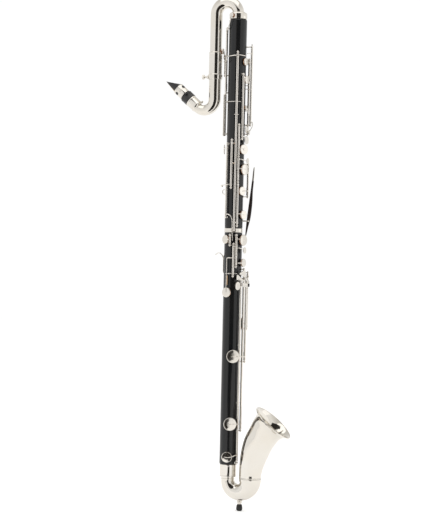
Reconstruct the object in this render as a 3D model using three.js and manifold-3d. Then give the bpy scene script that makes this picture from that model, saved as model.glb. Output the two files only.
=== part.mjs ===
// A contra-alto clarinet: a straight two-joint body, a folded neck with a tuning slide,
// a bent elbow with an upturned bell, an end pin, and its hinged keywork.
// Millimetres, +Z up along the bore, +X towards the bell, -Y the side with the long key rods.
// The origin is the foot of the end pin's rubber tip.
import * as THREE from "three";
import { mergeVertices } from "three/addons/utils/BufferGeometryUtils.js";
import Module from "manifold-3d";

const wasm = await Module();
wasm.setup();

// ---- driving dimensions ----
const PIN_AHEAD = 35; // the end pin stands this far ahead of the bore's axis
const BODY_R = 24.5; // outside of the wooden joints
const BORE_R = 14;
const GAP = 0.3; // left between pieces that touch
const TOP_Z = 1370; // upper face of the top ring
const WOOD_TOP_Z = 1352;
const RING_Z = [765, 776]; // the metal ring between the joints
const WOOD_FOOT_Z = 127.6;
const FERRULE_FOOT_Z = 90.3;
const HINGE_R = 30; // most hinge rods lie this far from the bore's axis
const ROD_R = 1.5;
const TUBE_R = 2.7; // key tubes that turn on the rods
const TUBE_BORE_R = 2.0;
const POST_R = 2.1;
const BALL_R = 3.4;
const ARM_R = 1.35;
const CHIMNEY_TOP_R = BODY_R + 1.6; // rim of a tone hole, from the bore's axis
const PAD_THICKNESS = 2.2;
const CUP_FLOOR_R = CHIMNEY_TOP_R + PAD_THICKNESS;
const CUP_HEIGHT = 3.1;
const BODY_SIDES = 24;

// ---- finishes ----
const finishes = {
  wood: new THREE.MeshStandardMaterial({ color: 0x15181a, roughness: 0.42, metalness: 0 }),
  silver: new THREE.MeshStandardMaterial({ color: 0xd9d2c6, roughness: 0.18, metalness: 1 }),
  ebonite: new THREE.MeshStandardMaterial({ color: 0x111112, roughness: 0.3, metalness: 0 }),
  cane: new THREE.MeshStandardMaterial({ color: 0xd8be84, roughness: 0.7, metalness: 0 }),
  rubber: new THREE.MeshStandardMaterial({ color: 0x171717, roughness: 0.8, metalness: 0 }),
};

// ---- solids ----
const Z_AXIS = new THREE.Vector3(0, 0, 1);
const radians = THREE.MathUtils.degToRad;

// Outward direction at an azimuth about the bore: 0 is -Y, 90 is +X.
const outward = (azimuth) =>
  new THREE.Vector3(Math.sin(radians(azimuth)), -Math.cos(radians(azimuth)), 0);

const around = (azimuth, radius, z) => outward(azimuth).multiplyScalar(radius).setZ(z);

function closed(geometry) {
  const bare = geometry.index ? geometry.clone() : geometry;
  bare.deleteAttribute("normal");
  bare.deleteAttribute("uv");
  const merged = mergeVertices(bare, 1e-4);
  const points = merged.attributes.position;
  const corners = Array.from(merged.index.array);
  const kept = [];
  let volume = 0;
  const [a, b, c] = [new THREE.Vector3(), new THREE.Vector3(), new THREE.Vector3()];
  for (let i = 0; i < corners.length; i += 3) {
    const [p, q, r] = corners.slice(i, i + 3);
    if (p === q || q === r || r === p) continue;
    kept.push(p, q, r);
    a.fromBufferAttribute(points, p);
    b.fromBufferAttribute(points, q);
    c.fromBufferAttribute(points, r);
    volume += a.dot(b.cross(c));
  }
  if (volume < 0) kept.reverse();
  merged.setIndex(kept);
  return merged;
}

function solid(geometry) {
  const shape = closed(geometry);
  const vertProperties = new Float32Array(shape.attributes.position.array);
  const triVerts = new Uint32Array(shape.index.array);
  return new wasm.Manifold(new wasm.Mesh({ numProp: 3, vertProperties, triVerts }));
}

function geometryOf(manifold) {
  const mesh = manifold.getMesh();
  const geometry = new THREE.BufferGeometry();
  geometry.setAttribute("position", new THREE.BufferAttribute(mesh.vertProperties, 3));
  geometry.setIndex(new THREE.BufferAttribute(mesh.triVerts, 1));
  return geometry;
}

const joined = (pieces) => pieces.map(solid).reduce((whole, piece) => whole.add(piece));

// A profile of [radius, height] turned about the Z axis.
function turned(profile, sides) {
  const points = profile.map(([radius, height]) => new THREE.Vector2(radius, height));
  return new THREE.LatheGeometry(points, sides).rotateX(Math.PI / 2);
}

const disc = (radius, z0, z1, sides) =>
  turned([[0, z0], [radius, z0], [radius, z1], [0, z1]], sides);

function pipe(outer, inner, z0, z1, sides) {
  return turned([[outer, z0], [outer, z1], [inner, z1], [inner, z0], [outer, z0]], sides);
}

// Stands a shape built about Z on its foot at a place, with its Z along a direction.
function stood(geometry, foot, direction) {
  const turn = new THREE.Quaternion().setFromUnitVectors(Z_AXIS, direction.clone().normalize());
  return geometry.applyQuaternion(turn).translate(foot.x, foot.y, foot.z);
}

const bar = (from, to, radius, sides = 6) =>
  stood(disc(radius, 0, from.distanceTo(to), sides), from, to.clone().sub(from));

const ball = (centre, radius) =>
  new THREE.SphereGeometry(radius, 6, 4).translate(centre.x, centre.y, centre.z);

// A bent wire through knots of [azimuth, radius, z], which wraps around the body.
function wire(knots, radius = ARM_R, perSpan = 1) {
  const points = [];
  knots.forEach((knot, i) => {
    if (i === 0) return;
    const from = knots[i - 1];
    for (let step = i === 1 ? 0 : 1; step <= perSpan; step += 1) {
      const t = step / perSpan;
      points.push(around(...from.map((value, axis) => value + (knot[axis] - value) * t)));
    }
  });
  const outline = new THREE.Shape();
  outline.absarc(0, 0, radius, 0, 2 * Math.PI);
  const extrudePath = new THREE.CatmullRomCurve3(points, false, "centripetal");
  const steps = points.length - 1;
  return new THREE.ExtrudeGeometry(outline, { steps, extrudePath, curveSegments: 2 });
}

// A tube of changing width, strung along stations in the XZ plane: its skin runs out along
// the outer radii and back along the inner ones, and closes on itself.
function strung(stations, sides) {
  const rings = [
    ...stations.map(({ x, z, heading, outer }) => ({ x, z, heading, radius: outer })),
    ...stations.map(({ x, z, heading, inner }) => ({ x, z, heading, radius: inner })).reverse(),
  ];
  const positions = [];
  for (const { x, z, heading, radius } of rings) {
    for (let side = 0; side < sides; side += 1) {
      const turn = (2 * Math.PI * side) / sides;
      const across = radius * Math.cos(turn);
      positions.push(x - across * Math.sin(heading), radius * Math.sin(turn));
      positions.push(z + across * Math.cos(heading));
    }
  }
  const index = [];
  for (let ring = 0; ring < rings.length; ring += 1) {
    for (let side = 0; side < sides; side += 1) {
      const next = (side + 1) % sides;
      const [here, there] = [ring * sides, ((ring + 1) % rings.length) * sides];
      index.push(here + side, there + side, there + next);
      index.push(here + side, there + next, here + next);
    }
  }
  const geometry = new THREE.BufferGeometry();
  geometry.setAttribute("position", new THREE.Float32BufferAttribute(positions, 3));
  geometry.setIndex(index);
  return geometry;
}

// Stations around a bend in the XZ plane; angles are of the place on the bend's circle.
function bend(centre, radius, from, to, steps, widths) {
  return Array.from({ length: steps + 1 }, (_, step) => {
    const t = step / steps;
    const angle = radians(from + (to - from) * t);
    const x = centre[0] + radius * Math.cos(angle);
    const z = centre[1] + radius * Math.sin(angle);
    const heading = angle + (to > from ? Math.PI / 2 : -Math.PI / 2);
    return { x, z, heading, ...widths(t) };
  });
}

// ---- the assembly ----
const clarinet = new THREE.Group();
clarinet.position.x = -PIN_AHEAD; // inside, the bore's axis is the Z axis

function place(name, shape, finish, parent = clarinet) {
  const geometry = shape instanceof wasm.Manifold ? geometryOf(shape) : closed(shape);
  const mesh = new THREE.Mesh(geometry, finish);
  mesh.name = name;
  parent.add(mesh);
  return mesh;
}

// ---- key parts ----
// A round cup, seen as a low dome, over a tone hole.
function cup(azimuth, z, diameter, floor = CUP_FLOOR_R, height = CUP_HEIGHT) {
  const radius = diameter / 2;
  const rim = height * 0.55;
  const dome = [[0, 0], [radius, 0], [radius, rim], [radius * 0.72, height], [0, height]];
  return stood(turned(dome, 12), around(azimuth, floor, z), outward(azimuth));
}

// A finger touch: an oval plate, tall along Z and wide around the body.
function touch(azimuth, z, radius, wide, tall, thickness = 2.2) {
  const plate = disc(1, 0, thickness, 10).scale(wide / 2, tall / 2, 1);
  const facing = new THREE.Matrix4().makeBasis(
    outward(azimuth + 90), Z_AXIS, outward(azimuth));
  return plate.applyMatrix4(facing).translate(...around(azimuth, radius, z).toArray());
}

// A fixed hinge rod held by posts, each a ball on a stem whose foot meets the body.
function hingeRod(name, hinge, ends, postHeights, footRadius = BODY_R + GAP) {
  const [azimuth, radius] = hinge;
  const pieces = [bar(around(azimuth, radius, ends[0]), around(azimuth, radius, ends[1]), ROD_R)];
  for (const z of postHeights) {
    const head = around(azimuth, radius, z);
    pieces.push(ball(head, BALL_R), bar(around(azimuth, footRadius, z), head, POST_R, 6));
  }
  return place(name, joined(pieces), finishes.silver);
}

// A key on a hinge rod. Its shape is given with every pad shut; at rest it stands turned
// by `standsOpen` degrees about its hinge.
function key(name, hinge, tubeEnds, pieces, standsOpen = 0) {
  const axis = around(...hinge, 0);
  const tube = pipe(TUBE_R, TUBE_BORE_R, ...tubeEnds, 8).translate(axis.x, axis.y, 0);
  const rodRoom = disc(TUBE_BORE_R, tubeEnds[0] - 10, tubeEnds[1] + 10, 8);
  const whole = joined([tube, ...pieces]).subtract(solid(rodRoom.translate(axis.x, axis.y, 0)));
  const mesh = place(name, geometryOf(whole).translate(-axis.x, -axis.y, 0), finishes.silver);
  mesh.position.copy(axis);
  mesh.rotation.z = radians(standsOpen);
  return mesh;
}

// ---- tone holes: [azimuth, z, hole radius] ----
const UPPER_HOLES = [
  [72, 1234, 6], [80, 1185, 7], [74, 1108, 3.5], [67, 993, 9], [78, 938, 10.5],
  [64, 879, 8], [75, 813.5, 8.5],
];
const LOWER_HOLES = [
  [-31, 745.5, 8.5], [80, 744, 11.5], [85, 682, 8], [-16, 600, 10],
  [24.5, 425, 14], [18, 239.5, 14], [6, 149, 11], [134, 515, 12],
];

function drilled(body, holes) {
  let drilledBody = body;
  for (const [azimuth, z, radius] of holes) {
    const chimney = disc(radius + 1.6, 0, CHIMNEY_TOP_R - BORE_R - 4, 10);
    const hole = disc(radius, 0, BODY_R, 10);
    const way = outward(azimuth);
    drilledBody = drilledBody
      .add(solid(stood(chimney, around(azimuth, BORE_R + 4, z), way)))
      .subtract(solid(stood(hole, around(azimuth, BORE_R - 5, z), way)));
  }
  return drilledBody;
}

// ---- body ----
function makeBody() {
  const edge = 3;
  const upper = turned([
    [BORE_R, RING_Z[1] + GAP], [BODY_R - 0.6, RING_Z[1] + GAP], [BODY_R, RING_Z[1] + edge],
    [BODY_R, WOOD_TOP_Z - 2 * edge], [BODY_R - 2, WOOD_TOP_Z], [BORE_R, WOOD_TOP_Z],
    [BORE_R, RING_Z[1] + GAP],
  ], BODY_SIDES);
  place("upper_joint", drilled(solid(upper), UPPER_HOLES), finishes.wood);

  const lower = turned([
    [BORE_R, WOOD_FOOT_Z], [BODY_R - 1.2, WOOD_FOOT_Z], [BODY_R, WOOD_FOOT_Z + edge],
    [BODY_R, RING_Z[0] - GAP], [BORE_R, RING_Z[0] - GAP], [BORE_R, WOOD_FOOT_Z],
  ], BODY_SIDES);
  place("lower_joint", drilled(solid(lower), LOWER_HOLES), finishes.wood);

  place("centre_ring", pipe(BODY_R + 1.2, BORE_R, ...RING_Z, BODY_SIDES), finishes.silver);

  const socketR = 16.2; // takes the neck
  place("top_ring", turned([
    [BORE_R, WOOD_TOP_Z + GAP], [BODY_R - 0.6, WOOD_TOP_Z + GAP], [BODY_R, WOOD_TOP_Z + edge],
    [BODY_R, TOP_Z - edge], [BODY_R - 1.5, TOP_Z], [socketR, TOP_Z], [socketR, TOP_Z - 12],
    [BORE_R, TOP_Z - 12], [BORE_R, WOOD_TOP_Z + GAP],
  ], BODY_SIDES), finishes.silver);
}

// ---- neck ----
const CROWN = { x: -31.5, z: 1368, radius: 31.5 };
const SLEEVE_TOP_Z = 1262;
const SLEEVE_FOOT_Z = 1187;
const LOWER_BEND = { x: -94, z: 1133, radius: 31 };
const MOUTH_TILT = 41.5; // how far the mouthpiece points above level
const RECEIVER = { x: -133, z: 1130, length: 27, outer: 17.5 };
const VENT_Z = 1266; // the neck's register vent
const LOCK_SCREW_Z = 1194;
const LOCK_SCREW_BACK = 19.3; // from the leg's middle to the screw's point, when loosened

function makeNeck() {
  const sides = 16;
  const wall = 1.2;
  const legX = CROWN.x - CROWN.radius;
  const down = -Math.PI / 2;
  const crownPath = [
    { x: 0, z: TOP_Z - 11, heading: Math.PI / 2, outer: 15.6, inner: 14.2 },
    ...bend([CROWN.x, CROWN.z], CROWN.radius, 0, 180, 10, (t) => {
      const outer = 15.65 + 1.1 * t;
      return { outer, inner: outer - wall };
    }),
    { x: legX, z: SLEEVE_TOP_Z, heading: down, outer: 16.75, inner: 15.55 },
    { x: legX, z: SLEEVE_TOP_Z - 1, heading: down, outer: 18.5, inner: 17.6 },
    { x: legX, z: 1201, heading: down, outer: 18.5, inner: 17.6 },
    { x: legX, z: 1200, heading: down, outer: 20, inner: 17.6 },
    { x: legX, z: SLEEVE_FOOT_Z, heading: down, outer: 20, inner: 17.6 },
  ];
  const behind = new THREE.Vector3(-1, 0, 0);
  const boss = stood(disc(4.5, 0, 6, 12), new THREE.Vector3(legX - 18.5, 0, LOCK_SCREW_Z), behind);
  const screwWay = stood(disc(2.2, 0, 12, 10), new THREE.Vector3(legX - 16, 0, LOCK_SCREW_Z), behind);
  const ahead = new THREE.Vector3(1, 0, 0);
  const vent = stood(disc(3, 0, 3, 10), new THREE.Vector3(legX + 15.6, 0, VENT_Z), ahead);
  const ventHole = stood(disc(1.2, 0, 6, 8), new THREE.Vector3(legX + 14, 0, VENT_Z), ahead);
  const crown = solid(strung(crownPath, sides)).add(solid(boss)).subtract(solid(screwWay))
    .add(solid(vent)).subtract(solid(ventHole));
  place("neck_crown", crown, finishes.silver);

  const screw = joined([
    disc(1.8, 0, 9, 10), turned([[0, 8], [3, 8], [3, 12], [6.4, 12], [6.4, 18], [0, 18]], 12)]);
  const screwMesh = place("slide_lock_screw", screw, finishes.silver);
  screwMesh.position.set(legX - LOCK_SCREW_BACK, 0, LOCK_SCREW_Z);
  screwMesh.rotation.y = -Math.PI / 2;

  const lowerPath = [
    { x: legX, z: 1250, heading: down, outer: 17.25, inner: 16.1 },
    ...bend([LOWER_BEND.x, LOWER_BEND.z], LOWER_BEND.radius, 0, -131.5, 8, (t) => {
      const outer = 17.25 - 4.2 * t;
      return { outer, inner: outer - wall };
    }),
  ];
  const end = lowerPath.at(-1);
  const way = new THREE.Vector3(Math.cos(end.heading), 0, Math.sin(end.heading));
  const receiver = pipe(RECEIVER.outer, 13.4, 0, RECEIVER.length, sides);
  const shoulder = pipe(RECEIVER.outer, 11.9, -2.5, 0.5, sides);
  const mouth = new THREE.Vector3(RECEIVER.x, 0, RECEIVER.z);
  const foot = mouth.clone().addScaledVector(way, -RECEIVER.length);
  const lyreFoot = foot.clone().add(new THREE.Vector3(12, 0, 12));
  const lower = solid(strung(lowerPath, sides))
    .add(solid(stood(shoulder, foot, way)))
    .add(solid(stood(receiver, foot, way)))
    .add(solid(stood(disc(3.2, 0, 5, 10), lyreFoot, new THREE.Vector3(0.66, 0, 0.75))));
  place("neck_lower", lower, finishes.silver);
}

// ---- mouthpiece, built along its own Z from the receiver's mouth, reed on its +X side ----
function makeMouthpiece() {
  const group = new THREE.Group();
  group.position.set(RECEIVER.x, 0, RECEIVER.z);
  const along = new THREE.Vector3(-Math.cos(radians(MOUTH_TILT)), 0, Math.sin(radians(MOUTH_TILT)));
  const reedSide = new THREE.Vector3(-along.z, 0, along.x);
  group.quaternion.setFromRotationMatrix(
    new THREE.Matrix4().makeBasis(reedSide, new THREE.Vector3().crossVectors(along, reedSide), along));
  clarinet.add(group);

  const tip = 85.5; // height of the mouthpiece's tip
  const tipOffset = 7.6; // from the axis to the reed's side of the tip
  const tableOffset = 10.8; // and to the flat that the reed is clamped on
  const reedFoot = 25;
  const earTurn = radians(-110); // the ligature closes on its far side
  const screwOffset = 19.6;
  const screwHeights = { ligature_screw_lower: 27, ligature_screw_upper: 42 };
  const blank = turned([
    [0, -24], [13.1, -24], [13.1, GAP], [18.25, GAP], [18.25, 19], [14.8, 20.5],
    [14.4, 52], [13.2, tip], [0, tip]], 18);
  const cutter = (points) => {
    const outline = new THREE.Shape(points.map(([x, z]) => new THREE.Vector2(x, z)));
    const slab = new THREE.ExtrudeGeometry(outline, { depth: 50, bevelEnabled: false });
    return slab.translate(0, 0, -25).rotateX(Math.PI / 2);
  };
  const beak = cutter([[-20, 52], [-14.5, 52], [tipOffset - 1.2, tip], [tipOffset - 1.2, 90], [-20, 90]]);
  const table = cutter([
    [tableOffset, 24], [tableOffset, 50], [tipOffset, tip], [tipOffset, 90], [20, 90], [20, 24]]);
  const bore = disc(7.5, -25, 46, 14);
  const window = new THREE.BoxGeometry(14, 11, 32).translate(7, 0, 54);
  const mouthpiece = solid(blank).subtract(solid(beak)).subtract(solid(table))
    .subtract(solid(bore)).subtract(solid(window));
  place("mouthpiece", mouthpiece, finishes.ebonite, group);

  const blade = cutter([
    [tableOffset + GAP, reedFoot], [tableOffset + GAP, 50.2], [tipOffset + GAP, tip],
    [tipOffset + GAP + 0.5, tip], [tableOffset + 3, 54], [15, 50], [15, reedFoot]]);
  const arched = solid(disc(14.3, 24, tip + 2, 24)).intersect(solid(blade))
    .intersect(solid(new THREE.BoxGeometry(40, 18, 200)));
  place("reed", arched, finishes.cane, group);

  const band = { inner: 15.2, outer: 16.4, from: 22, to: 50 };
  const slot = new THREE.BoxGeometry(10, 2.4, 60).translate(18.5, 0, 36).rotateZ(earTurn);
  let ligature = solid(pipe(band.outer, band.inner, band.from, band.to, 20));
  for (const z of Object.values(screwHeights)) {
    const ears = new THREE.BoxGeometry(7, 9, 5).translate(18.5, 0, z).rotateZ(earTurn);
    ligature = ligature.add(solid(ears));
  }
  ligature = ligature.subtract(solid(disc(band.inner, 0, 90, 20))).subtract(solid(slot));
  for (const [name, z] of Object.entries(screwHeights)) {
    const hole = disc(1.6, -8, 8, 8).rotateX(Math.PI / 2).translate(screwOffset, 0, z);
    ligature = ligature.subtract(solid(hole.rotateZ(earTurn)));
    const screw = turned([[0, -6], [1.2, -6], [1.2, 5], [3.4, 5], [3.4, 12], [0, 12]], 12);
    const mesh = place(name, screw, finishes.silver, group);
    mesh.rotation.set(-Math.PI / 2, 0, earTurn, "ZYX");
    mesh.position.set(screwOffset * Math.cos(earTurn), screwOffset * Math.sin(earTurn), z);
  }
  for (const turn of [153, 46]) { // round windows in the band
    const window = stood(disc(5, 0, 8, 14), outward(turn + 90).multiplyScalar(13).setZ(40),
      outward(turn + 90));
    ligature = ligature.subtract(solid(window));
  }
  place("ligature", ligature, finishes.silver, group);
}

// ---- foot: elbow, bell and end pin ----
const ELBOW = { x: 32, z: 83.5, radius: 32 };

function makeFoot() {
  const wall = 1.3;
  const up = Math.PI / 2;
  const elbow = strung([
    { x: 0, z: WOOD_FOOT_Z - GAP, heading: -up, outer: 23.6, inner: BORE_R },
    { x: 0, z: 95, heading: -up, outer: 23.6, inner: BORE_R },
    { x: 0, z: 93, heading: -up, outer: 18.6, inner: 17 },
    ...bend([ELBOW.x, ELBOW.z], ELBOW.radius, -180, 0, 10, (t) => {
      const outer = 18.5 + 8 * t + 4 * t * t;
      return { outer, inner: outer - wall };
    }),
    { x: 2 * ELBOW.radius, z: FERRULE_FOOT_Z - GAP, heading: up, outer: 30.5, inner: 29.2 },
  ], 20);
  place("elbow", elbow, finishes.silver);

  const course = [ // x, z, heading in degrees, radius
    [64, FERRULE_FOOT_Z, 90, 31.6], [64, 93, 90, 31.6], [64, 94, 90, 30.9], [64.5, 106.5, 88, 31.4],
    [68.5, 131.5, 82, 34.3], [76, 160.5, 74, 38.4], [85, 187.5, 65, 40.9], [98, 211, 57, 42.7],
    [106.5, 225, 53, 44.9], [115, 233.5, 51, 47.8], [121, 239.5, 50, 51.8], [125, 244.5, 49, 57],
    [127, 247, 48.5, 61.5],
  ];
  const bell = strung(course.map(([x, z, heading, outer]) => (
    { x, z, heading: radians(heading), outer, inner: outer - 1.4 })), 24);
  place("bell", bell, finishes.silver);

  const pinFoot = 6;
  const pin = turned([
    [0, pinFoot], [4, pinFoot], [4, 18.7], [5.5, 18.7], [5.5, 22], [7.4, 22.6], [7.4, 25],
    [5.5, 26], [5.5, 27.6], [0, 27.6]], 16).translate(PIN_AHEAD, 0, 0);
  place("end_pin", pin, finishes.silver);
  const tip = turned([
    [0, 0], [7.4, 0], [8.7, 1.6], [8.7, 14], [6.4, 18.4], [4.3, 18.4], [4.3, pinFoot - GAP],
    [0, pinFoot - GAP]], 16).translate(PIN_AHEAD, 0, 0);
  place("end_pin_tip", tip, finishes.rubber);
}

// ---- fittings on the body ----
function makeFittings() {
  const hookSide = -85;
  const way = outward(hookSide);
  const plate = new THREE.BoxGeometry(14, 49, 1.6);
  const across = outward(hookSide + 90);
  plate.applyMatrix4(new THREE.Matrix4().makeBasis(across, Z_AXIS, way));
  plate.translate(...around(hookSide, BODY_R + GAP + 0.8, 677).toArray());
  const profile = new THREE.Shape();
  profile.moveTo(25, 694);
  profile.bezierCurveTo(30, 706, 38, 713, 49, 704);
  profile.lineTo(48, 701.6);
  profile.bezierCurveTo(39, 709, 33, 703, 27, 692);
  const strip = new THREE.ExtrudeGeometry(profile, {
    depth: 14, bevelEnabled: false, curveSegments: 5 }).translate(0, 0, -7);
  strip.applyMatrix4(new THREE.Matrix4().makeBasis(
    way, Z_AXIS, new THREE.Vector3().crossVectors(way, Z_AXIS)));
  place("thumb_hook", joined([plate, strip]), finishes.silver);

  const ringSide = -108;
  const ring = new THREE.TorusGeometry(6.6, 1.2, 6, 14);
  ring.applyMatrix4(new THREE.Matrix4().makeBasis(
    outward(ringSide), Z_AXIS, outward(ringSide - 90)));
  ring.translate(...around(ringSide, 33.6, 877).toArray());
  const foot = bar(around(ringSide, BODY_R + GAP, 877), around(ringSide, 27.6, 877), 4, 10);
  place("strap_ring", joined([ring, foot]), finishes.silver);

  const guardSide = -76;
  const rail = new THREE.BoxGeometry(3, 116, 8.5);
  rail.applyMatrix4(new THREE.Matrix4().makeBasis(
    outward(guardSide + 90), Z_AXIS, outward(guardSide)));
  rail.translate(...around(guardSide, 32, 1088).toArray());
  const feet = [1036, 1124].map((z) =>
    bar(around(guardSide, BODY_R + GAP, z), around(guardSide, 31, z), POST_R, 6));
  const crossing = wire([
    [guardSide, 27.5, 1124], [-60, 26.2, 1124], [-20, 26.1, 1124], [20, 26.1, 1124],
    [43, 26.6, 1124]], 0.9, 3);
  place("back_guard", joined([rail, ...feet, crossing]), finishes.silver);
}

// ---- hinge lines: [azimuth, distance from the bore's axis] ----
const LINES = {
  upperRegister: [-75, HINGE_R],
  neckRegister: [-102, 38.5],
  transfer: [18.5, HINGE_R],
  leftIndex: [52.6, HINGE_R],
  throat: [112, 33],
  registerLever: [98, 40],
  sideBridge: [-2, HINGE_R],
  thumb: [-31, HINGE_R],
  leftStack: [34, HINGE_R],
  crossKey: [120, 37],
  trill: [-1, HINGE_R],
  lowerBridge: [19, HINGE_R],
  rightStack: [33.5, HINGE_R],
  lowFirst: [66, 31],
  lowSecond: [90, 32.7],
  lowThird: [99, 38.8],
  lowFourth: [112, 42],
};

function makeRods() {
  hingeRod("upper_register_rod", LINES.upperRegister, [1149, 1326], [1149, 1326]);
  hingeRod("neck_register_rod", LINES.neckRegister, [1198, 1252], [1198, 1252]);
  hingeRod("transfer_rod", LINES.transfer, [771, 1259], [771, 1259], BODY_R + 1.2 + GAP);
  hingeRod("left_index_rod", LINES.leftIndex, [1022, 1199], [1022, 1199]);
  hingeRod("throat_rod", LINES.throat, [1036, 1242], [1036, 1101, 1242]);
  hingeRod("register_lever_rod", LINES.registerLever, [1061, 1284], [1061, 1276]);
  hingeRod("side_bridge_rod", LINES.sideBridge, [888, 1018], [888, 1018]);
  hingeRod("thumb_rod", LINES.thumb, [807, 1008], [807, 1008]);
  hingeRod("left_stack_rod", LINES.leftStack, [783, 1060], [783, 903, 973.5, 1060]);
  hingeRod("cross_key_rod", LINES.crossKey, [864, 954], [864, 954]);
  hingeRod("trill_rod", LINES.trill, [730, 757], [730, 757]);
  hingeRod("lower_bridge_rod", LINES.lowerBridge, [645, 733], [645, 733]);
  hingeRod("right_stack_rod", LINES.rightStack, [671, 757], [671, 757]);
  hingeRod("low_first_rod", LINES.lowFirst, [133, 635], [133, 635]);
  hingeRod("low_second_rod", LINES.lowSecond, [221, 664], [221, 664]);
  hingeRod("low_third_rod", LINES.lowThird, [410, 638], [410, 638]);
  hingeRod("low_fourth_rod", LINES.lowFourth, [500, 666], [500, 666]);
}

// ---- keys of the upper joint ----
const REST_OPEN = 9; // how far an open-standing finger key is turned from shut

function makeUpperKeys() {
  key("upper_register_key", LINES.upperRegister, [1153, 1322], [
    wire([[-75, 30, 1317], [-58, 30.5, 1322], [-40, 30, 1332], [-27, 30.2, 1347], [-23, 30, 1361]]),
    cup(-23, 1361, 13),
  ]);

  const neckHinge = around(...LINES.neckRegister, 1239);
  const elbowPoint = new THREE.Vector3(-39.5, 0, 1247);
  const ventCup = new THREE.Vector3(CROWN.x - CROWN.radius + 20.9, 0, VENT_Z);
  key("neck_register_key", LINES.neckRegister, [1202, 1248], [
    bar(neckHinge, elbowPoint, ARM_R),
    bar(elbowPoint, ventCup.clone().add(new THREE.Vector3(2, 0, -3)), ARM_R),
    stood(disc(6.5, 0, 3, 12), ventCup, new THREE.Vector3(1, 0, 0)),
    wire([[-102, 38.5, 1238], [-88, 37.5, 1238], [-70, 36.6, 1240], [-54, 35, 1242]]),
  ]);

  key("transfer_shaft", LINES.transfer, [775, 1255], [
    wire([[18.5, 30, 1250], [0, 29.6, 1250], [-20, 29.4, 1249], [-42, 30, 1248]]),
    wire([[18.5, 30, 1250], [32, 30.2, 1251], [50, 31, 1250], [60, 33, 1249]]),
  ]);

  key("left_index_key", LINES.leftIndex, [1026, 1195], [
    wire([[52.6, 30, 1190], [62, 31.2, 1190], [74, 31, 1187]]), cup(80, 1185, 22),
    wire([[52.6, 30, 1028], [64, 31.4, 1028], [78, 31.2, 1022]]), touch(85, 1019, 29.8, 22, 23),
  ], -REST_OPEN);

  key("throat_key", LINES.throat, [1105, 1238], [
    wire([[112, 33, 1234], [98, 33, 1234], [80, 31, 1234]]), cup(72, 1234, 21),
    wire([[112, 33, 1112], [122, 35, 1112], [130, 36, 1110]]), touch(134, 1110, 34.6, 12, 18),
  ]);

  key("index_ring_key", LINES.throat, [1040, 1097], [
    wire([[112, 33, 1048], [98, 33, 1048], [82, 31.4, 1048]]), touch(75, 1048, 29.8, 20, 21),
    wire([[112, 33, 1092], [98, 32.6, 1096], [80, 31, 1104]]), cup(74, 1108, 12),
  ], 7);

  key("register_lever", LINES.registerLever, [1065, 1272], [
    wire([[98, 40, 1257], [88, 39, 1257], [76, 37, 1257], [66, 36, 1256]]),
    wire([[98, 40, 1069], [97, 45, 1069], [94, 46.5, 1058], [90, 40, 1044]]),
    touch(90, 1040, 37.6, 11, 14),
  ]);

  key("side_bridge_key", LINES.sideBridge, [892, 1014], [
    wire([[-2, 30, 1009], [5, 31, 1009], [11, 30.4, 1009]]),
    wire([[-2, 30, 955], [5, 31, 955], [10.5, 30.4, 955]]),
    wire([[-2, 30, 896], [-10, 33, 896], [-20, 35.4, 895], [-50, 35.4, 894], [-84, 36, 893]]),
    ball(around(-86, 36, 893), 3.4),
  ]);

  key("left_thumb_key", LINES.thumb, [811, 1004], [
    wire([[-31, 30, 996], [-50, 31, 996], [-70, 30.6, 994]]), touch(-80, 993, 29.4, 18, 28),
    wire([[-31, 30, 815], [-16, 29.6, 814], [0, 29.4, 810], [8, 29.4, 798], [9.4, 29.4, 782],
      [9.4, 29.4, 766], [12, 29.2, 754], [12, 29, 742]], 1.5),
  ]);

  key("left_middle_key", LINES.leftStack, [977.5, 1056], [
    wire([[34, 30, 997], [46, 32, 996], [58, 31.2, 994]]), cup(67, 993, 27.5),
  ], -REST_OPEN);
  key("left_ring_key", LINES.leftStack, [907, 969.5], [
    wire([[34, 30, 940], [48, 32, 940], [66, 31.2, 939]]), cup(78, 938, 30.5),
    wire([[34, 30, 966], [50, 33.4, 965], [72, 33.4, 962], [88, 32.4, 961]]),
    touch(94, 962, 31.6, 15, 17),
  ], -REST_OPEN);
  key("upper_bridge_key", LINES.leftStack, [787, 899], [
    wire([[34, 30, 816], [48, 32, 816], [65, 31.2, 814]]), cup(75, 813.5, 24.5),
    wire([[34, 30, 792], [29, 32, 792], [25, 33, 792]]),
  ], -REST_OPEN);

  key("cross_key", LINES.crossKey, [868, 950], [
    wire([[120, 37, 880], [104, 36.4, 880], [88, 33.6, 880], [74, 31, 879]]), cup(64, 879, 24),
    wire([[120, 37, 944], [130, 39.5, 944], [137, 40, 944]]), touch(140, 944, 38.6, 14, 20),
  ]);
}

// The left little finger's long lever rocks on a pin across its plane.
const LEVER_PIVOT = { u: 40, z: 797, plane: 104 };

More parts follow.
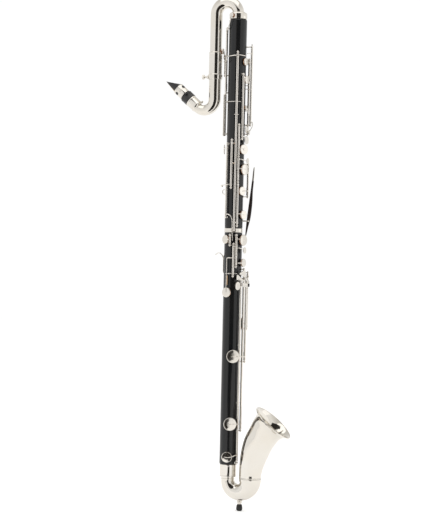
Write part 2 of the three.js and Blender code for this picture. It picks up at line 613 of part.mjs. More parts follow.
function makeLittleLever() {
  const sideways = outward(LEVER_PIVOT.plane);
  const through = outward(LEVER_PIVOT.plane - 90);
  const flat = new THREE.Matrix4().makeBasis(sideways, Z_AXIS, through.clone().negate());
  const outline = new THREE.Shape();
  outline.moveTo(52.6, 946);
  outline.quadraticCurveTo(55, 946, 54.6, 938);
  outline.lineTo(51, 880);
  outline.quadraticCurveTo(50, 815, 44, 797);
  outline.lineTo(35.6, 757);
  outline.quadraticCurveTo(32.4, 752, 32.6, 760);
  outline.lineTo(36, 806);
  outline.lineTo(44.5, 880);
  outline.lineTo(50.6, 940);
  const blade = new THREE.ExtrudeGeometry(outline, {
    depth: 4, bevelEnabled: false, curveSegments: 4 }).translate(0, 0, -2);
  const pinHole = disc(2.1, -6, 6, 10).translate(LEVER_PIVOT.u, LEVER_PIVOT.z, 0);
  const shape = geometryOf(solid(blade).subtract(solid(pinHole)))
    .translate(-LEVER_PIVOT.u, -LEVER_PIVOT.z, 0).applyMatrix4(flat);
  const mesh = place("left_little_lever", shape, finishes.ebonite);
  const pivot = sideways.clone().multiplyScalar(LEVER_PIVOT.u).setZ(LEVER_PIVOT.z);
  mesh.position.copy(pivot);

  const half = 5.4;
  const near = pivot.clone().addScaledVector(through, half);
  const far = pivot.clone().addScaledVector(through, -half);
  const inward = (point) => {
    const flatFoot = point.clone().setZ(0);
    return flatFoot.setLength(BODY_R + GAP).setZ(LEVER_PIVOT.z);
  };
  place("left_little_pivot", joined([
    bar(near, far, 1.5), ball(near, 2.6), ball(far, 2.6),
    bar(inward(near), near, 1.8, 6), bar(inward(far), far, 1.8, 6),
  ]), finishes.silver);
}

// ---- keys of the lower joint ----
function makeLowerKeys() {
  key("trill_key", LINES.trill, [734, 753], [
    wire([[-1, 30, 745], [-10, 31.6, 745], [-22, 31, 745.5]]), cup(-31, 745.5, 24),
  ]);
  key("lower_bridge_key", LINES.lowerBridge, [649, 729], [
    wire([[19, 30, 695], [6, 30, 695], [-8, 29.4, 695], [-16, 29.6, 692]]),
    wire([[-16, 29.6, 693], [-16, 30, 660], [-16, 30.6, 604]]), cup(-16, 600, 27),
  ]);
  key("right_index_key", LINES.rightStack, [729, 753], [
    wire([[33.5, 30, 747], [48, 32, 747], [66, 31.2, 745]]), cup(80, 744, 31),
  ], -REST_OPEN);
  key("right_middle_key", LINES.rightStack, [703, 728.5], [
    wire([[33.5, 30, 722], [50, 32.6, 722], [76, 32, 718]]), touch(85, 716, 31, 17, 17.6),
  ], -REST_OPEN);
  key("right_ring_key", LINES.rightStack, [675, 702.5], [
    wire([[33.5, 30, 681], [50, 32, 681], [75, 31.2, 682]]), cup(85, 682, 23),
  ], -REST_OPEN);

  key("low_first_key", LINES.lowFirst, [137, 631], [
    wire([[66, 31, 155], [50, 32.6, 154], [25, 31.4, 150.5]]), cup(6, 149, 29),
    wire([[66, 31, 618], [58, 33, 618], [50, 34, 618]]), touch(45, 617, 33, 16, 20),
  ], 7);
  key("low_second_key", LINES.lowSecond, [225, 660], [
    wire([[90, 32.7, 240], [82, 37.4, 240], [66, 37.8, 240], [46, 34.4, 240], [31, 31.4, 239.5]]),
    cup(18, 239.5, 36),
    wire([[90, 32.7, 650], [80, 35.6, 650], [70, 36.6, 649]]), touch(64, 649, 35.6, 17, 19),
  ], 6);
  key("low_third_key", LINES.lowThird, [414, 634], [
    wire([[99, 38.8, 425], [88, 41.2, 425], [66, 40, 425], [48, 35.6, 425], [38, 31.4, 425]]),
    cup(24.5, 425, 36),
    wire([[99, 38.8, 623], [90, 41, 623], [82, 41.6, 622]]), touch(78, 621, 40.6, 17, 20),
  ], 6);
  key("low_fourth_key", LINES.lowFourth, [504, 662], [
    wire([[112, 42, 515], [118, 38, 515], [126, 32, 515]]), cup(134, 515, 30),
    wire([[112, 42, 650], [103, 44.4, 650], [96, 45, 649]]), touch(93, 649, 44, 14, 20),
  ], 0);
}

makeBody();
makeNeck();
makeMouthpiece();
makeFoot();
makeFittings();
makeRods();
makeUpperKeys();
makeLittleLever();
makeLowerKeys();

export default clarinet;
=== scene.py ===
"""Looks of the contra-alto clarinet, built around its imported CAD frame.

Lengths are millimetres in the instrument's own frame, whose Z axis is the bore's axis, until a
piece is written out in metres in the shared frame. Azimuths are degrees about the bore: 0 is -Y,
the side of the long rods, and 90 is +X, the side of the bell.
"""
import math
import bmesh
import bpy
from mathutils import Matrix, Vector


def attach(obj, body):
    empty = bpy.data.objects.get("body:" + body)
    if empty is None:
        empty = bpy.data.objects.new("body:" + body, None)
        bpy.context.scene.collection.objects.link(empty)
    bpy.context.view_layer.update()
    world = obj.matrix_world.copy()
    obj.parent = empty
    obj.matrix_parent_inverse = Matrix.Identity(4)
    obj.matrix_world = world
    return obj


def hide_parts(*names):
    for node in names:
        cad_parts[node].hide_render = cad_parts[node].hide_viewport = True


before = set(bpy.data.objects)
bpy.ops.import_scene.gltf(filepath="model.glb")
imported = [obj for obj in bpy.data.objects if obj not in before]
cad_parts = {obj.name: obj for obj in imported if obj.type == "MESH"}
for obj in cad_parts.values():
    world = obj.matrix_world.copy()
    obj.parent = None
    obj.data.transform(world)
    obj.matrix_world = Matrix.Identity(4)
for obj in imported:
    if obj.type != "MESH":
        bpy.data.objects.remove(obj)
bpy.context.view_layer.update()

MM = 0.001

# ---- driving dimensions, as in the CAD ----
PIN_AHEAD = 35.0
BODY_R = 24.5
BORE_R = 14.0
TOP_Z = 1370.0
WOOD_TOP_Z = 1352.0
RING_Z = (765.0, 776.0)
WOOD_FOOT_Z = 127.6
HINGE_R = 30.0
ROD_R = 1.5
TUBE_R = 3.0  # a little over the CAD's
ARM_R = 1.35
POST_R = 1.9
BALL_R = 3.4
CHIMNEY_TOP_R = BODY_R + 1.6
PAD_THICKNESS = 2.2
CUP_FLOOR_R = CHIMNEY_TOP_R + PAD_THICKNESS
CUP_HEIGHT = 3.1
REST_OPEN = 9.0
AROUND = 64  # sides of the larger round pieces
ROOT = "instrument"


# ================= materials =================
def new_material(name, base, roughness, metallic=0.0):
    material = bpy.data.materials.new(name)
    material.use_nodes = True
    shader = material.node_tree.nodes["Principled BSDF"]
    shader.inputs["Base Color"].default_value = (*base, 1.0)
    shader.inputs["Roughness"].default_value = roughness
    shader.inputs["Metallic"].default_value = metallic
    return material, material.node_tree, shader


def noise(tree, scale, detail=3.0, stretch=(1.0, 1.0, 1.0)):
    nodes, links = tree.nodes, tree.links
    coords = nodes.new("ShaderNodeTexCoord")
    mapping = nodes.new("ShaderNodeMapping")
    mapping.inputs["Scale"].default_value = stretch
    texture = nodes.new("ShaderNodeTexNoise")
    texture.inputs["Scale"].default_value = scale
    texture.inputs["Detail"].default_value = detail
    links.new(coords.outputs["Object"], mapping.inputs["Vector"])
    links.new(mapping.outputs["Vector"], texture.inputs["Vector"])
    return texture.outputs["Fac"]


def ramp(tree, factor, stops):
    node = tree.nodes.new("ShaderNodeValToRGB")
    elements = node.color_ramp.elements
    while len(elements) < len(stops):
        elements.new(0.5)
    for element, (place, colour) in zip(elements, stops):
        element.position = place
        element.color = (*colour, 1.0)
    tree.links.new(factor, node.inputs["Fac"])
    return node.outputs["Color"]


def spread(tree, factor, low, high):
    node = tree.nodes.new("ShaderNodeMapRange")
    node.inputs["From Min"].default_value = 0.3
    node.inputs["From Max"].default_value = 0.7
    node.inputs["To Min"].default_value = low
    node.inputs["To Max"].default_value = high
    tree.links.new(factor, node.inputs["Value"])
    return node.outputs["Result"]


def bump(tree, shader, height, strength, distance):
    node = tree.nodes.new("ShaderNodeBump")
    node.inputs["Strength"].default_value = strength
    node.inputs["Distance"].default_value = distance
    tree.links.new(height, node.inputs["Height"])
    tree.links.new(node.outputs["Normal"], shader.inputs["Normal"])


def make_material(name, base, roughness, metallic=0.0, grain=None, tint=None, colours=(),
        gloss=None, relief=None):
    """A material whose grain drives its gloss and relief, and whose tint, or else its grain,
    drives its colour. Grain and tint are a noise's scale, detail and stretch."""
    material, tree, shader = new_material(name, base, roughness, metallic)
    fine = noise(tree, *grain)
    if colours:
        broad = noise(tree, *tint) if tint else fine
        tree.links.new(ramp(tree, broad, colours), shader.inputs["Base Color"])
    if gloss:
        tree.links.new(spread(tree, fine, *gloss), shader.inputs["Roughness"])
    if relief:
        bump(tree, shader, fine, *relief)
    return material


def make_grenadilla():
    """Near-black oiled wood: fine fibres along the bore and faint brown streaks."""
    material = make_material("grenadilla", (0.012, 0.013, 0.014), 0.36,
        grain=(90.0, 5.0, (9.0, 9.0, 0.5)), tint=(14.0, 3.0, (6.0, 6.0, 0.4)),
        colours=[(0.3, (0.0050, 0.0062, 0.0070)), (0.72, (0.0095, 0.0088, 0.0084))],
        gloss=(0.15, 0.22), relief=(0.04, 0.0002))
    shader = material.node_tree.nodes["Principled BSDF"]
    shader.inputs["Specular IOR Level"].default_value = 0.39
    return material


def make_silver(name="plated_silver", base=(0.735, 0.705, 0.655), roughness=(0.06, 0.12)):
    """Polished plating: faint hand-polishing swirls and slight warm tarnish."""
    warm = tuple(channel * shade for channel, shade in zip(base, (0.97, 0.95, 0.91)))
    return make_material(name, base, roughness[0], 1.0, grain=(60.0, 4.0), tint=(11.0, 2.0),
        colours=[(0.35, base), (0.75, warm)], gloss=roughness)


WOOD = make_grenadilla()
SILVER = make_silver()
SATIN = make_silver("satin_silver", (0.80, 0.765, 0.715), (0.20, 0.27))
SPRING_STEEL = make_silver("blued_steel", (0.09, 0.12, 0.22), (0.18, 0.3))
BRUSHED = make_silver("brushed_silver", (0.70, 0.66, 0.60), (0.38, 0.52))
EBONITE = make_material("ebonite", (0.010, 0.010, 0.011), 0.2, grain=(120.0, 4.0),
    colours=[(0.3, (0.008, 0.008, 0.009)), (0.7, (0.018, 0.017, 0.016))],
    gloss=(0.15, 0.30), relief=(0.05, 0.0002))
# A near-black material with faint brown streaks, used for the little finger's blade.
DARK_STREAKED = make_material("dark_streaked", (0.02, 0.011, 0.009), 0.32,
    grain=(40.0, 5.0, (8.0, 8.0, 0.5)),
    colours=[(0.30, (0.0090, 0.0070, 0.0065)), (0.55, (0.0200, 0.0110, 0.0090)),
        (0.8, (0.040, 0.018, 0.013))],
    gloss=(0.26, 0.42), relief=(0.12, 0.0003))
RUBBER = make_material("rubber", (0.016, 0.016, 0.016), 0.72, grain=(700.0, 3.0),
    gloss=(0.60, 0.82), relief=(0.25, 0.0003))
CANE = make_material("cane", (0.62, 0.45, 0.22), 0.55, grain=(260.0, 4.0, (6.0, 6.0, 0.6)),
    colours=[(0.3, (0.50, 0.34, 0.15)), (0.7, (0.72, 0.56, 0.31))], relief=(0.2, 0.0003))
LEATHER = make_material("pad_leather", (0.42, 0.18, 0.07), 0.62,
    grain=(1600.0, 2.0), tint=(160.0, 4.0),
    colours=[(0.3, (0.30, 0.115, 0.04)), (0.7, (0.56, 0.26, 0.105))], relief=(0.3, 0.0002))
CORK = make_material("cork", (0.52, 0.33, 0.18), 0.85, grain=(900.0, 5.0),
    colours=[(0.32, (0.22, 0.11, 0.05)), (0.5, (0.50, 0.31, 0.16)), (0.7, (0.66, 0.45, 0.27))],
    relief=(0.5, 0.0004))


# ================= shapes =================
# A shape is (vertices, faces), closed, in millimetres.
def outward(azimuth):
    turn = math.radians(azimuth)
    return Vector((math.sin(turn), -math.cos(turn), 0.0))


def around(azimuth, radius, z):
    return outward(azimuth) * radius + Vector((0, 0, z))


def moved(shape, matrix):
    points, faces = shape
    return [matrix @ point for point in points], faces


def all_moved(shapes, matrix):
    return [moved(shape, matrix) for shape in shapes]


def joined(shapes):
    points, faces = [], []
    for shape_points, shape_faces in shapes:
        start = len(points)
        points += shape_points
        faces += [tuple(start + corner for corner in face) for face in shape_faces]
    return points, faces


def axes(x, y, z, origin):
    return Matrix.Translation(origin) @ Matrix((x, y, z)).transposed().to_4x4()


def facing(azimuth, radius, z):
    """Local X around the body, Y up, Z outward."""
    out = outward(azimuth)
    up = Vector((0, 0, 1))
    return axes(up.cross(out), up, out, around(azimuth, radius, z))


def standing(foot, direction):
    turn = direction.to_track_quat("Z", "Y").to_matrix().to_4x4()
    return Matrix.Translation(foot) @ turn


def ringed(rings, closed_loop=False):
    """Skins rings of equal point count; open ends are capped."""
    count = len(rings[0])
    points = [point for ring in rings for point in ring]
    faces = []
    spans = len(rings) if closed_loop else len(rings) - 1
    for ring in range(spans):
        here, there = ring * count, ((ring + 1) % len(rings)) * count
        for side in range(count):
            after = (side + 1) % count
            faces.append((here + side, here + after, there + after, there + side))
    if not closed_loop:
        faces.append(tuple(reversed(range(count))))
        faces.append(tuple(range((len(rings) - 1) * count, len(rings) * count)))
    return points, faces


def turns(count):
    """Evenly spaced angles, once around."""
    return [2 * math.pi * side / count for side in range(count)]


def squarer(value, power):
    """Takes a sine or cosine towards a square's, for a power under 1."""
    return math.copysign(abs(value) ** power, value)


def circle(radius, sides, z=0.0):
    return [Vector((radius * math.cos(t), radius * math.sin(t), z)) for t in turns(sides)]


def turned(profile, sides=AROUND):
    """A solid of revolution about Z. The profile is (radius, height) from its foot to its top,
    with every radius over zero; the ends are capped flat."""
    return ringed([circle(radius, sides, z) for radius, z in profile])


def hollow(outer, inner, sides=AROUND):
    """A tube: outer profile foot to top, inner profile foot to top."""
    profile = list(outer) + list(reversed(inner))
    return ringed([circle(radius, sides, z) for radius, z in profile], closed_loop=True)


def rounded_disc(radius, z0, z1, edge, sides=32, steps=3):
    """A disc with rounded rims."""
    profile = []
    for step in range(steps + 1):
        turn = math.pi / 2 * step / steps
        profile.append((radius - edge * (1 - math.sin(turn)), z0 + edge * (1 - math.cos(turn))))
    for step in range(steps + 1):
        turn = math.pi / 2 * step / steps
        profile.append((radius - edge * (1 - math.cos(turn)), z1 - edge * (1 - math.sin(turn))))
    return turned(profile, sides)


def ball(centre, radius, sides=20, rings=10):
    profile = []
    for ring in range(1, rings):
        turn = math.pi * ring / rings
        profile.append((radius * math.sin(turn), -radius * math.cos(turn)))
    return moved(turned(profile, sides), Matrix.Translation(centre))


def bar(start, end, radius, sides=16):
    length = (end - start).length
    return moved(turned([(radius, 0), (radius, length)], sides), standing(start, end - start))


def smooth_path(points, per_span=6):
    """A Catmull-Rom curve through the points."""
    padded = [points[0] * 2 - points[1], *points, points[-1] * 2 - points[-2]]
    path = []
    for i in range(1, len(padded) - 2):
        before, here, there, beyond = padded[i - 1:i + 3]
        for step in range(per_span):
            t = step / per_span
            path.append(0.5 * (2 * here + (there - before) * t
                + (2 * before - 5 * here + 4 * there - beyond) * t * t
                + (3 * here - before - 3 * there + beyond) * t ** 3))
    path.append(points[-1])
    return path


def swept(path, section_at, normal):
    """Sweeps section_at(t) -> [(across, out)] along a path, kept upright by normal(point)."""
    rings = []
    for i, point in enumerate(path):
        ahead = path[min(i + 1, len(path) - 1)] - path[max(i - 1, 0)]
        tangent = ahead.normalized()
        out = normal(point, i / (len(path) - 1))
        out = (out - tangent * out.dot(tangent)).normalized()
        across = tangent.cross(out)
        section = section_at(i / (len(path) - 1))
        rings.append([point + across * x + out * y for x, y in section])
    return ringed(rings)


def from_bore(point, _t):
    return Vector((point.x, point.y, 0.001)).normalized()


def oval(half_wide, half_deep, sides=12):
    return [(half_wide * math.cos(t), half_deep * math.sin(t)) for t in turns(sides)]


def wire(knots, radius=ARM_R, taper=0.78):
    """A key arm through knots of (azimuth, radius, z): oval, thinner towards its far end."""
    knots = [Vector(knot) for knot in knots]
    path = [around(*knot) for knot in smooth_path(knots, 5)]
    return swept(path, lambda t: oval(radius * (1.12 - (1.12 - taper) * t),
        radius * (1.0 - (1.0 - taper) * t)), from_bore)


def heading_ring(x, z, heading, radius, sides):
    across = Vector((-math.sin(heading), 0, math.cos(heading)))
    middle = Vector((x, 0, z))
    return [middle + across * (radius * math.cos(t)) + Vector((0, radius * math.sin(t), 0))
            for t in turns(sides)]


def strung(stations, wall, sides=AROUND):
    """A tube of changing width along stations of (x, z, heading, outer radius)."""
    rings = [heading_ring(x, z, heading, radius, sides) for x, z, heading, radius in stations]
    back = [heading_ring(x, z, heading, radius - wall, sides)
            for x, z, heading, radius in reversed(stations)]
    return ringed(rings + back, closed_loop=True)


def bend(centre, radius, start, end, steps, width):
    """Stations around a bend; angles are of the place on the bend's circle."""
    stations = []
    for step in range(steps + 1):
        t = step / steps
        angle = math.radians(start + (end - start) * t)
        heading = angle + math.copysign(math.pi / 2, end - start)
        place = (centre[0] + radius * math.cos(angle), centre[1] + radius * math.sin(angle))
        stations.append((*place, heading, width(t)))
    return stations


# ================= pieces =================
SHAPE_TO_FRAME = Matrix.Translation((-PIN_AHEAD, 0, 0))


def new_object(name, points, faces, material):
    mesh = bpy.data.meshes.new(name)
    mesh.from_pydata(points, [], faces)
    mesh.materials.append(material)
    mesh.validate()
    made = bpy.data.objects.new(name, mesh)
    bpy.context.scene.collection.objects.link(made)
    return made


def piece(name, shapes, material, body=ROOT, stands_for=(), sharp=35.0):
    """Joins closed shapes into one object in the shared frame, riding on a CAD body."""
    points, faces = joined(shapes)
    made = new_object(name, [(SHAPE_TO_FRAME @ point) * MM for point in points], faces, material)
    face_outwards(made)
    mesh = made.data
    mesh.polygons.foreach_set("use_smooth", [True] * len(mesh.polygons))
    mesh.set_sharp_from_angle(angle=math.radians(sharp))
    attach(made, body)
    if stands_for:
        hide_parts(*stands_for)
    return made


def face_outwards(made):
    shell = bmesh.new()
    shell.from_mesh(made.data)
    bmesh.ops.recalc_face_normals(shell, faces=shell.faces)
    shell.to_mesh(made.data)
    shell.free()


# ================= body =================
UPPER_HOLES = [
    (72, 1234, 6), (80, 1185, 7), (74, 1108, 3.5), (67, 993, 9), (78, 938, 10.5),
    (64, 879, 8), (75, 813.5, 8.5)]
LOWER_HOLES = [
    (-31, 745.5, 8.5), (80, 744, 11.5), (85, 682, 8), (-16, 600, 10),
    (24.5, 425, 14), (18, 239.5, 14), (6, 149, 11), (134, 515, 12)]


def rounded_profile(points, radius, steps=4):
    """Rounds the inner corners of an open (radius, height) profile."""
    corners = [Vector(point) for point in points]
    profile = [tuple(corners[0])]
    for before, here, after in zip(corners, corners[1:], corners[2:]):
        to_before, to_after = before - here, after - here
        reach = min(radius, to_before.length / 2.01, to_after.length / 2.01)
        start = here + to_before.normalized() * reach
        end = here + to_after.normalized() * reach
        for step in range(steps + 1):
            t = step / steps
            profile.append(tuple(start * (1 - t) ** 2 + here * 2 * t * (1 - t) + end * t * t))
    profile.append(tuple(corners[-1]))
    return profile


def wooden_joint(name, outer, holes):
    """The wood, with a raised chimney and a dark blind hole at each tone hole."""
    z0, z1 = outer[0][1], outer[-1][1]
    shapes = [hollow(outer, [(BORE_R, z0), (BORE_R, z1)], 96)]
    for azimuth, z, radius in holes:
        rise = CHIMNEY_TOP_R - BODY_R + 6
        chimney = hollow([(radius + 1.9, 0), (radius + 1.5, rise - 0.5), (radius + 1.1, rise)],
            [(radius, 0), (radius, rise)], 40)
        shapes.append(moved(chimney, facing(azimuth, CHIMNEY_TOP_R - rise, z)))
    piece(name + "_wood", shapes, WOOD, stands_for=[name])


def make_body():
    foot, top = RING_Z[1] + 0.3, WOOD_TOP_Z
    upper = rounded_profile([
        (BORE_R, foot), (BODY_R + 0.1, foot), (BODY_R + 0.5, foot + 30), (BODY_R, foot + 44),
        (BODY_R - 0.1, top - 60), (BODY_R, top - 2.5), (BODY_R - 3.0, top), (BORE_R, top)], 2.6)
    wooden_joint("upper_joint", upper, UPPER_HOLES)
    foot, top = WOOD_FOOT_Z, RING_Z[0] - 0.3
    lower = rounded_profile([
        (BORE_R, foot), (BODY_R - 0.6, foot), (BODY_R, foot + 3), (BODY_R, top - 1),
        (BODY_R, top), (BORE_R, top)], 2.0)
    wooden_joint("lower_joint", lower, LOWER_HOLES)

    low, high = RING_Z
    ring = rounded_profile([
        (BORE_R + 1, low), (BODY_R + 0.9, low), (BODY_R + 1.2, low + 1), (BODY_R + 1.2, low + 2.2),
        (BODY_R + 0.8, low + 2.7), (BODY_R + 0.8, high - 2.7), (BODY_R + 1.2, high - 2.2),
        (BODY_R + 1.2, high - 1), (BODY_R + 0.9, high), (BORE_R + 1, high)], 0.5)
    piece("centre_ring_band", [hollow(ring, [(BORE_R, low), (BORE_R, high)], 96)], SILVER,
        stands_for=["centre_ring"])

    low, high = WOOD_TOP_Z + 0.3, TOP_Z
    cap = rounded_profile([
        (17, low), (BODY_R - 0.4, low), (BODY_R, low + 1.5), (BODY_R, high - 2.4),
        (BODY_R - 2.2, high), (17.5, high), (16.6, high - 0.6)], 1.6)
    piece("top_ring_cap", [
        hollow(cap, [(BORE_R, low), (BORE_R, high - 12), (16.3, high - 12), (16.3, high - 0.6)], 96),
    ], SILVER, stands_for=["top_ring"])


# ================= neck =================
CROWN = {"x": -31.5, "z": 1368.0, "radius": 31.5}
LEG_X = CROWN["x"] - CROWN["radius"]
SLEEVE_TOP_Z = 1262.0
SLEEVE_FOOT_Z = 1187.0
LOWER_BEND = {"x": -94.0, "z": 1133.0, "radius": 31.0}
RECEIVER = {"x": -133.0, "z": 1130.0, "length": 27.0, "outer": 17.5}
NECK_WALL = 1.2
DOWN = -math.pi / 2
LOCK_SCREW_Z = 1194.0
LOCK_SCREW_BACK = 19.3
VENT_Z = 1266.0
LEFT = Vector((-1, 0, 0))
RIGHT = Vector((1, 0, 0))


def knurling(radius, low, high, size, count):
    """Fine ridges around a screw's head."""
    ridge = bar(Vector((radius, 0, low)), Vector((radius, 0, high)), size, 6)
    return [moved(ridge, Matrix.Rotation(turn, 4, "Z")) for turn in turns(count)]


def make_crown():
    """The neck's crown with its foot collar and vent, and the tuning slide's outer sleeve."""
    crown = [(0, TOP_Z - 11, math.pi / 2, 15.6), (0, TOP_Z - 3, math.pi / 2, 15.6)]
    crown += bend((CROWN["x"], CROWN["z"]), CROWN["radius"], 0, 180, 40, lambda t: 15.65 + 1.1 * t)
    crown += [(LEG_X, z, DOWN, 16.75) for z in (1340, 1310, 1285, SLEEVE_TOP_Z + 1)]
    sleeve_outline = rounded_profile([
        (16.4, SLEEVE_FOOT_Z), (19.6, SLEEVE_FOOT_Z), (20.0, SLEEVE_FOOT_Z + 1), (20.0, 1200),
        (19.4, 1201), (18.5, 1201.6), (18.5, SLEEVE_TOP_Z - 5), (19.1, SLEEVE_TOP_Z - 4),
        (19.1, SLEEVE_TOP_Z - 1), (18.4, SLEEVE_TOP_Z), (17.0, SLEEVE_TOP_Z + 1)], 0.6)
    inner = [(17.6, SLEEVE_FOOT_Z), (17.6, SLEEVE_TOP_Z - 2), (15.6, SLEEVE_TOP_Z)]
    sleeve = moved(hollow(sleeve_outline, inner), Matrix.Translation((LEG_X, 0, 0)))
    boss = moved(hollow([(4.5, 0), (4.5, 4.6), (4.0, 5.4)], [(2.3, 0), (2.3, 5.4)], 32),
        standing(Vector((LEG_X - 18.9, 0, LOCK_SCREW_Z)), LEFT))
    vent = moved(hollow([(3.6, 0), (3.0, 1.0), (2.4, 3.0)], [(1.2, 0), (1.2, 3.0)], 24),
        standing(Vector((LEG_X + 15.8, 0, VENT_Z)), RIGHT))
    collar_outline = rounded_profile([
        (15.4, TOP_Z), (17.8, TOP_Z), (17.8, TOP_Z + 2.4), (15.8, TOP_Z + 3)], 0.7)
    collar = hollow(collar_outline, [(15.3, TOP_Z), (15.3, TOP_Z + 3)])
    piece("neck_crown_tube", [strung(crown, NECK_WALL), sleeve, boss, vent, collar], SILVER,
        stands_for=["neck_crown"])


def make_lock_screw():
    knob = rounded_profile([
        (0.5, 0), (1.8, 0.5), (1.8, 7.4), (3.2, 8), (3.0, 11), (2.6, 11.6), (6.0, 12.1),
        (6.5, 12.8), (6.5, 17), (6.0, 17.8), (3.2, 17.8), (2.6, 17.3), (0.5, 17.3)], 0.35)
    shapes = [turned(knob, 32), *knurling(6.35, 12.8, 17, 0.32, 28)]
    seat = standing(Vector((LEG_X - LOCK_SCREW_BACK, 0, LOCK_SCREW_Z)), LEFT)
    piece("slide_lock_thumbscrew", all_moved(shapes, seat), SILVER,
        "slide_lock_screw", ["slide_lock_screw"])


def make_lower_neck():
    """The branch that slides in the sleeve, with the mouthpiece's receiver and a lyre's foot.
    Gives the direction that the mouthpiece points in."""
    lower = [(LEG_X, z, DOWN, 17.25) for z in (1250, 1200, 1165, 1144)]
    lower += bend((LOWER_BEND["x"], LOWER_BEND["z"]), LOWER_BEND["radius"], 0, -131.5, 34,
        lambda t: 17.25 - 4.2 * t ** 1.1)
    heading = lower[-1][2]
    way = Vector((math.cos(heading), 0, math.sin(heading)))
    outer, length = RECEIVER["outer"], RECEIVER["length"]
    foot = Vector((RECEIVER["x"], 0, RECEIVER["z"])) - way * length
    receiver = rounded_profile([
        (12.6, -4.0), (14.4, -3.0), (16.2, -1.2), (outer, 0.6), (outer + 0.5, 1.6),
        (outer + 0.5, 3.2), (outer - 0.4, 4.0), (outer - 0.4, length - 4.4),
        (outer + 0.5, length - 3.6), (outer + 0.5, length - 1.0), (outer, length)], 0.5)
    cup_wall = [(12.0, -4.0), (12.0, 0), (13.4, 1), (13.4, length)]
    lyre_foot = rounded_profile([
        (0.6, -1), (3.4, -1), (3.4, 2.6), (2.4, 3.2), (2.4, 4.6), (0.6, 5)], 0.4)
    lyre_seat = standing(foot + Vector((12, 0, 12)), Vector((0.66, 0, 0.75)).normalized())
    shapes = [strung(lower, NECK_WALL), moved(hollow(receiver, cup_wall), standing(foot, way)),
        moved(turned(lyre_foot, 24), lyre_seat)]
    piece("neck_lower_tube", shapes, SILVER, "neck_slide", ["neck_lower"])
    return way


# ================= mouthpiece =================
# Built along its own Z from the receiver's mouth; the reed lies on its +X side.
MOUTH_TIP = 85.5
TIP_OFFSET = 7.6
TABLE = 10.8
REED_HALF_WIDTH = 8.3
LIGATURE_R = 16.2
LIGATURE_SEAM_X = 19.6
LIGATURE_SCREW_Z = {"lower": 27.0, "upper": 42.0}


def mouthpiece_section(z, radius, sides=64):
    """The body's round section, planed by the beak above and by the table below."""
    beak_run = max(0.0, (z - 52) / (MOUTH_TIP - 52))
    top = -radius + (TIP_OFFSET - 1.0 + radius) * beak_run ** 0.93
    table_run = max(0.0, (z - 50) / (MOUTH_TIP - 50))
    under = radius if z < 24 else TABLE - (TABLE - TIP_OFFSET) * table_run ** 1.4
    return [Vector((min(max(point.x, top), under), point.y, z))
            for point in circle(radius, sides, z)]


def make_mouthpiece_body(seat):
    bands = [(18.0, 0.4), (18.3, 1.0), (18.3, 2.0), (18.0, 2.6), (18.0, 15.6), (18.3, 16.2),
        (18.3, 18.0), (17.8, 19.2), (15.2, 20.6), (14.8, 21.5)]
    rings = [mouthpiece_section(-3, 13.0), mouthpiece_section(0.35, 13.0)]
    rings += [mouthpiece_section(z, radius) for radius, z in bands]
    steps = 44
    for step in range(1, steps + 1):
        z = 22 + (MOUTH_TIP - 22) * step / steps
        rings.append(mouthpiece_section(z, 14.8 - 1.4 * step / steps))
    piece("mouthpiece_body", [moved(ringed(rings), seat)], EBONITE, "neck_slide", ["mouthpiece"],
        sharp=30)
    cork = hollow([(13.1, -20), (13.25, -19), (13.25, -1.4), (13.1, -0.6)], [(9, -20), (9, -0.6)])
    piece("mouthpiece_cork", [moved(cork, seat)], CORK, "neck_slide")


def reed_ring(z):
    """The reed's section: flat on the table, arched behind, thinned and rounded at its tip."""
    heel, edge = 3.0, 0.3
    run = max(0.0, (z - 50.2) / (MOUTH_TIP - 50.2))
    low = TABLE + 0.3 - (TABLE - TIP_OFFSET) * run ** 1.4
    thinning = min(1.0, max(0.0, (z - 48) / (MOUTH_TIP - 48)))
    thick = heel + (edge - heel) * thinning ** 0.8
    half = REED_HALF_WIDTH
    if z > MOUTH_TIP - 5:
        half = math.sqrt(max(0.6, REED_HALF_WIDTH ** 2 - (1.25 * (z - MOUTH_TIP + 5)) ** 2))
    ring = [Vector((low, y, z)) for y in (half, half / 2, 0, -half / 2, -half)]
    for i in range(9):
        y = -half + 2 * half * i / 8
        ring.append(Vector((low + max(0.25, thick * (1 - 0.55 * (y / half) ** 2)), y, z)))
    return ring


def make_reed(seat):
    low, high, steps = 25.5, MOUTH_TIP - 0.4, 30
    rings = [reed_ring(low + (high - low) * i / steps) for i in range(steps + 1)]
    piece("reed_cane", [moved(ringed(rings), seat)], CANE, "neck_slide", ["reed"])


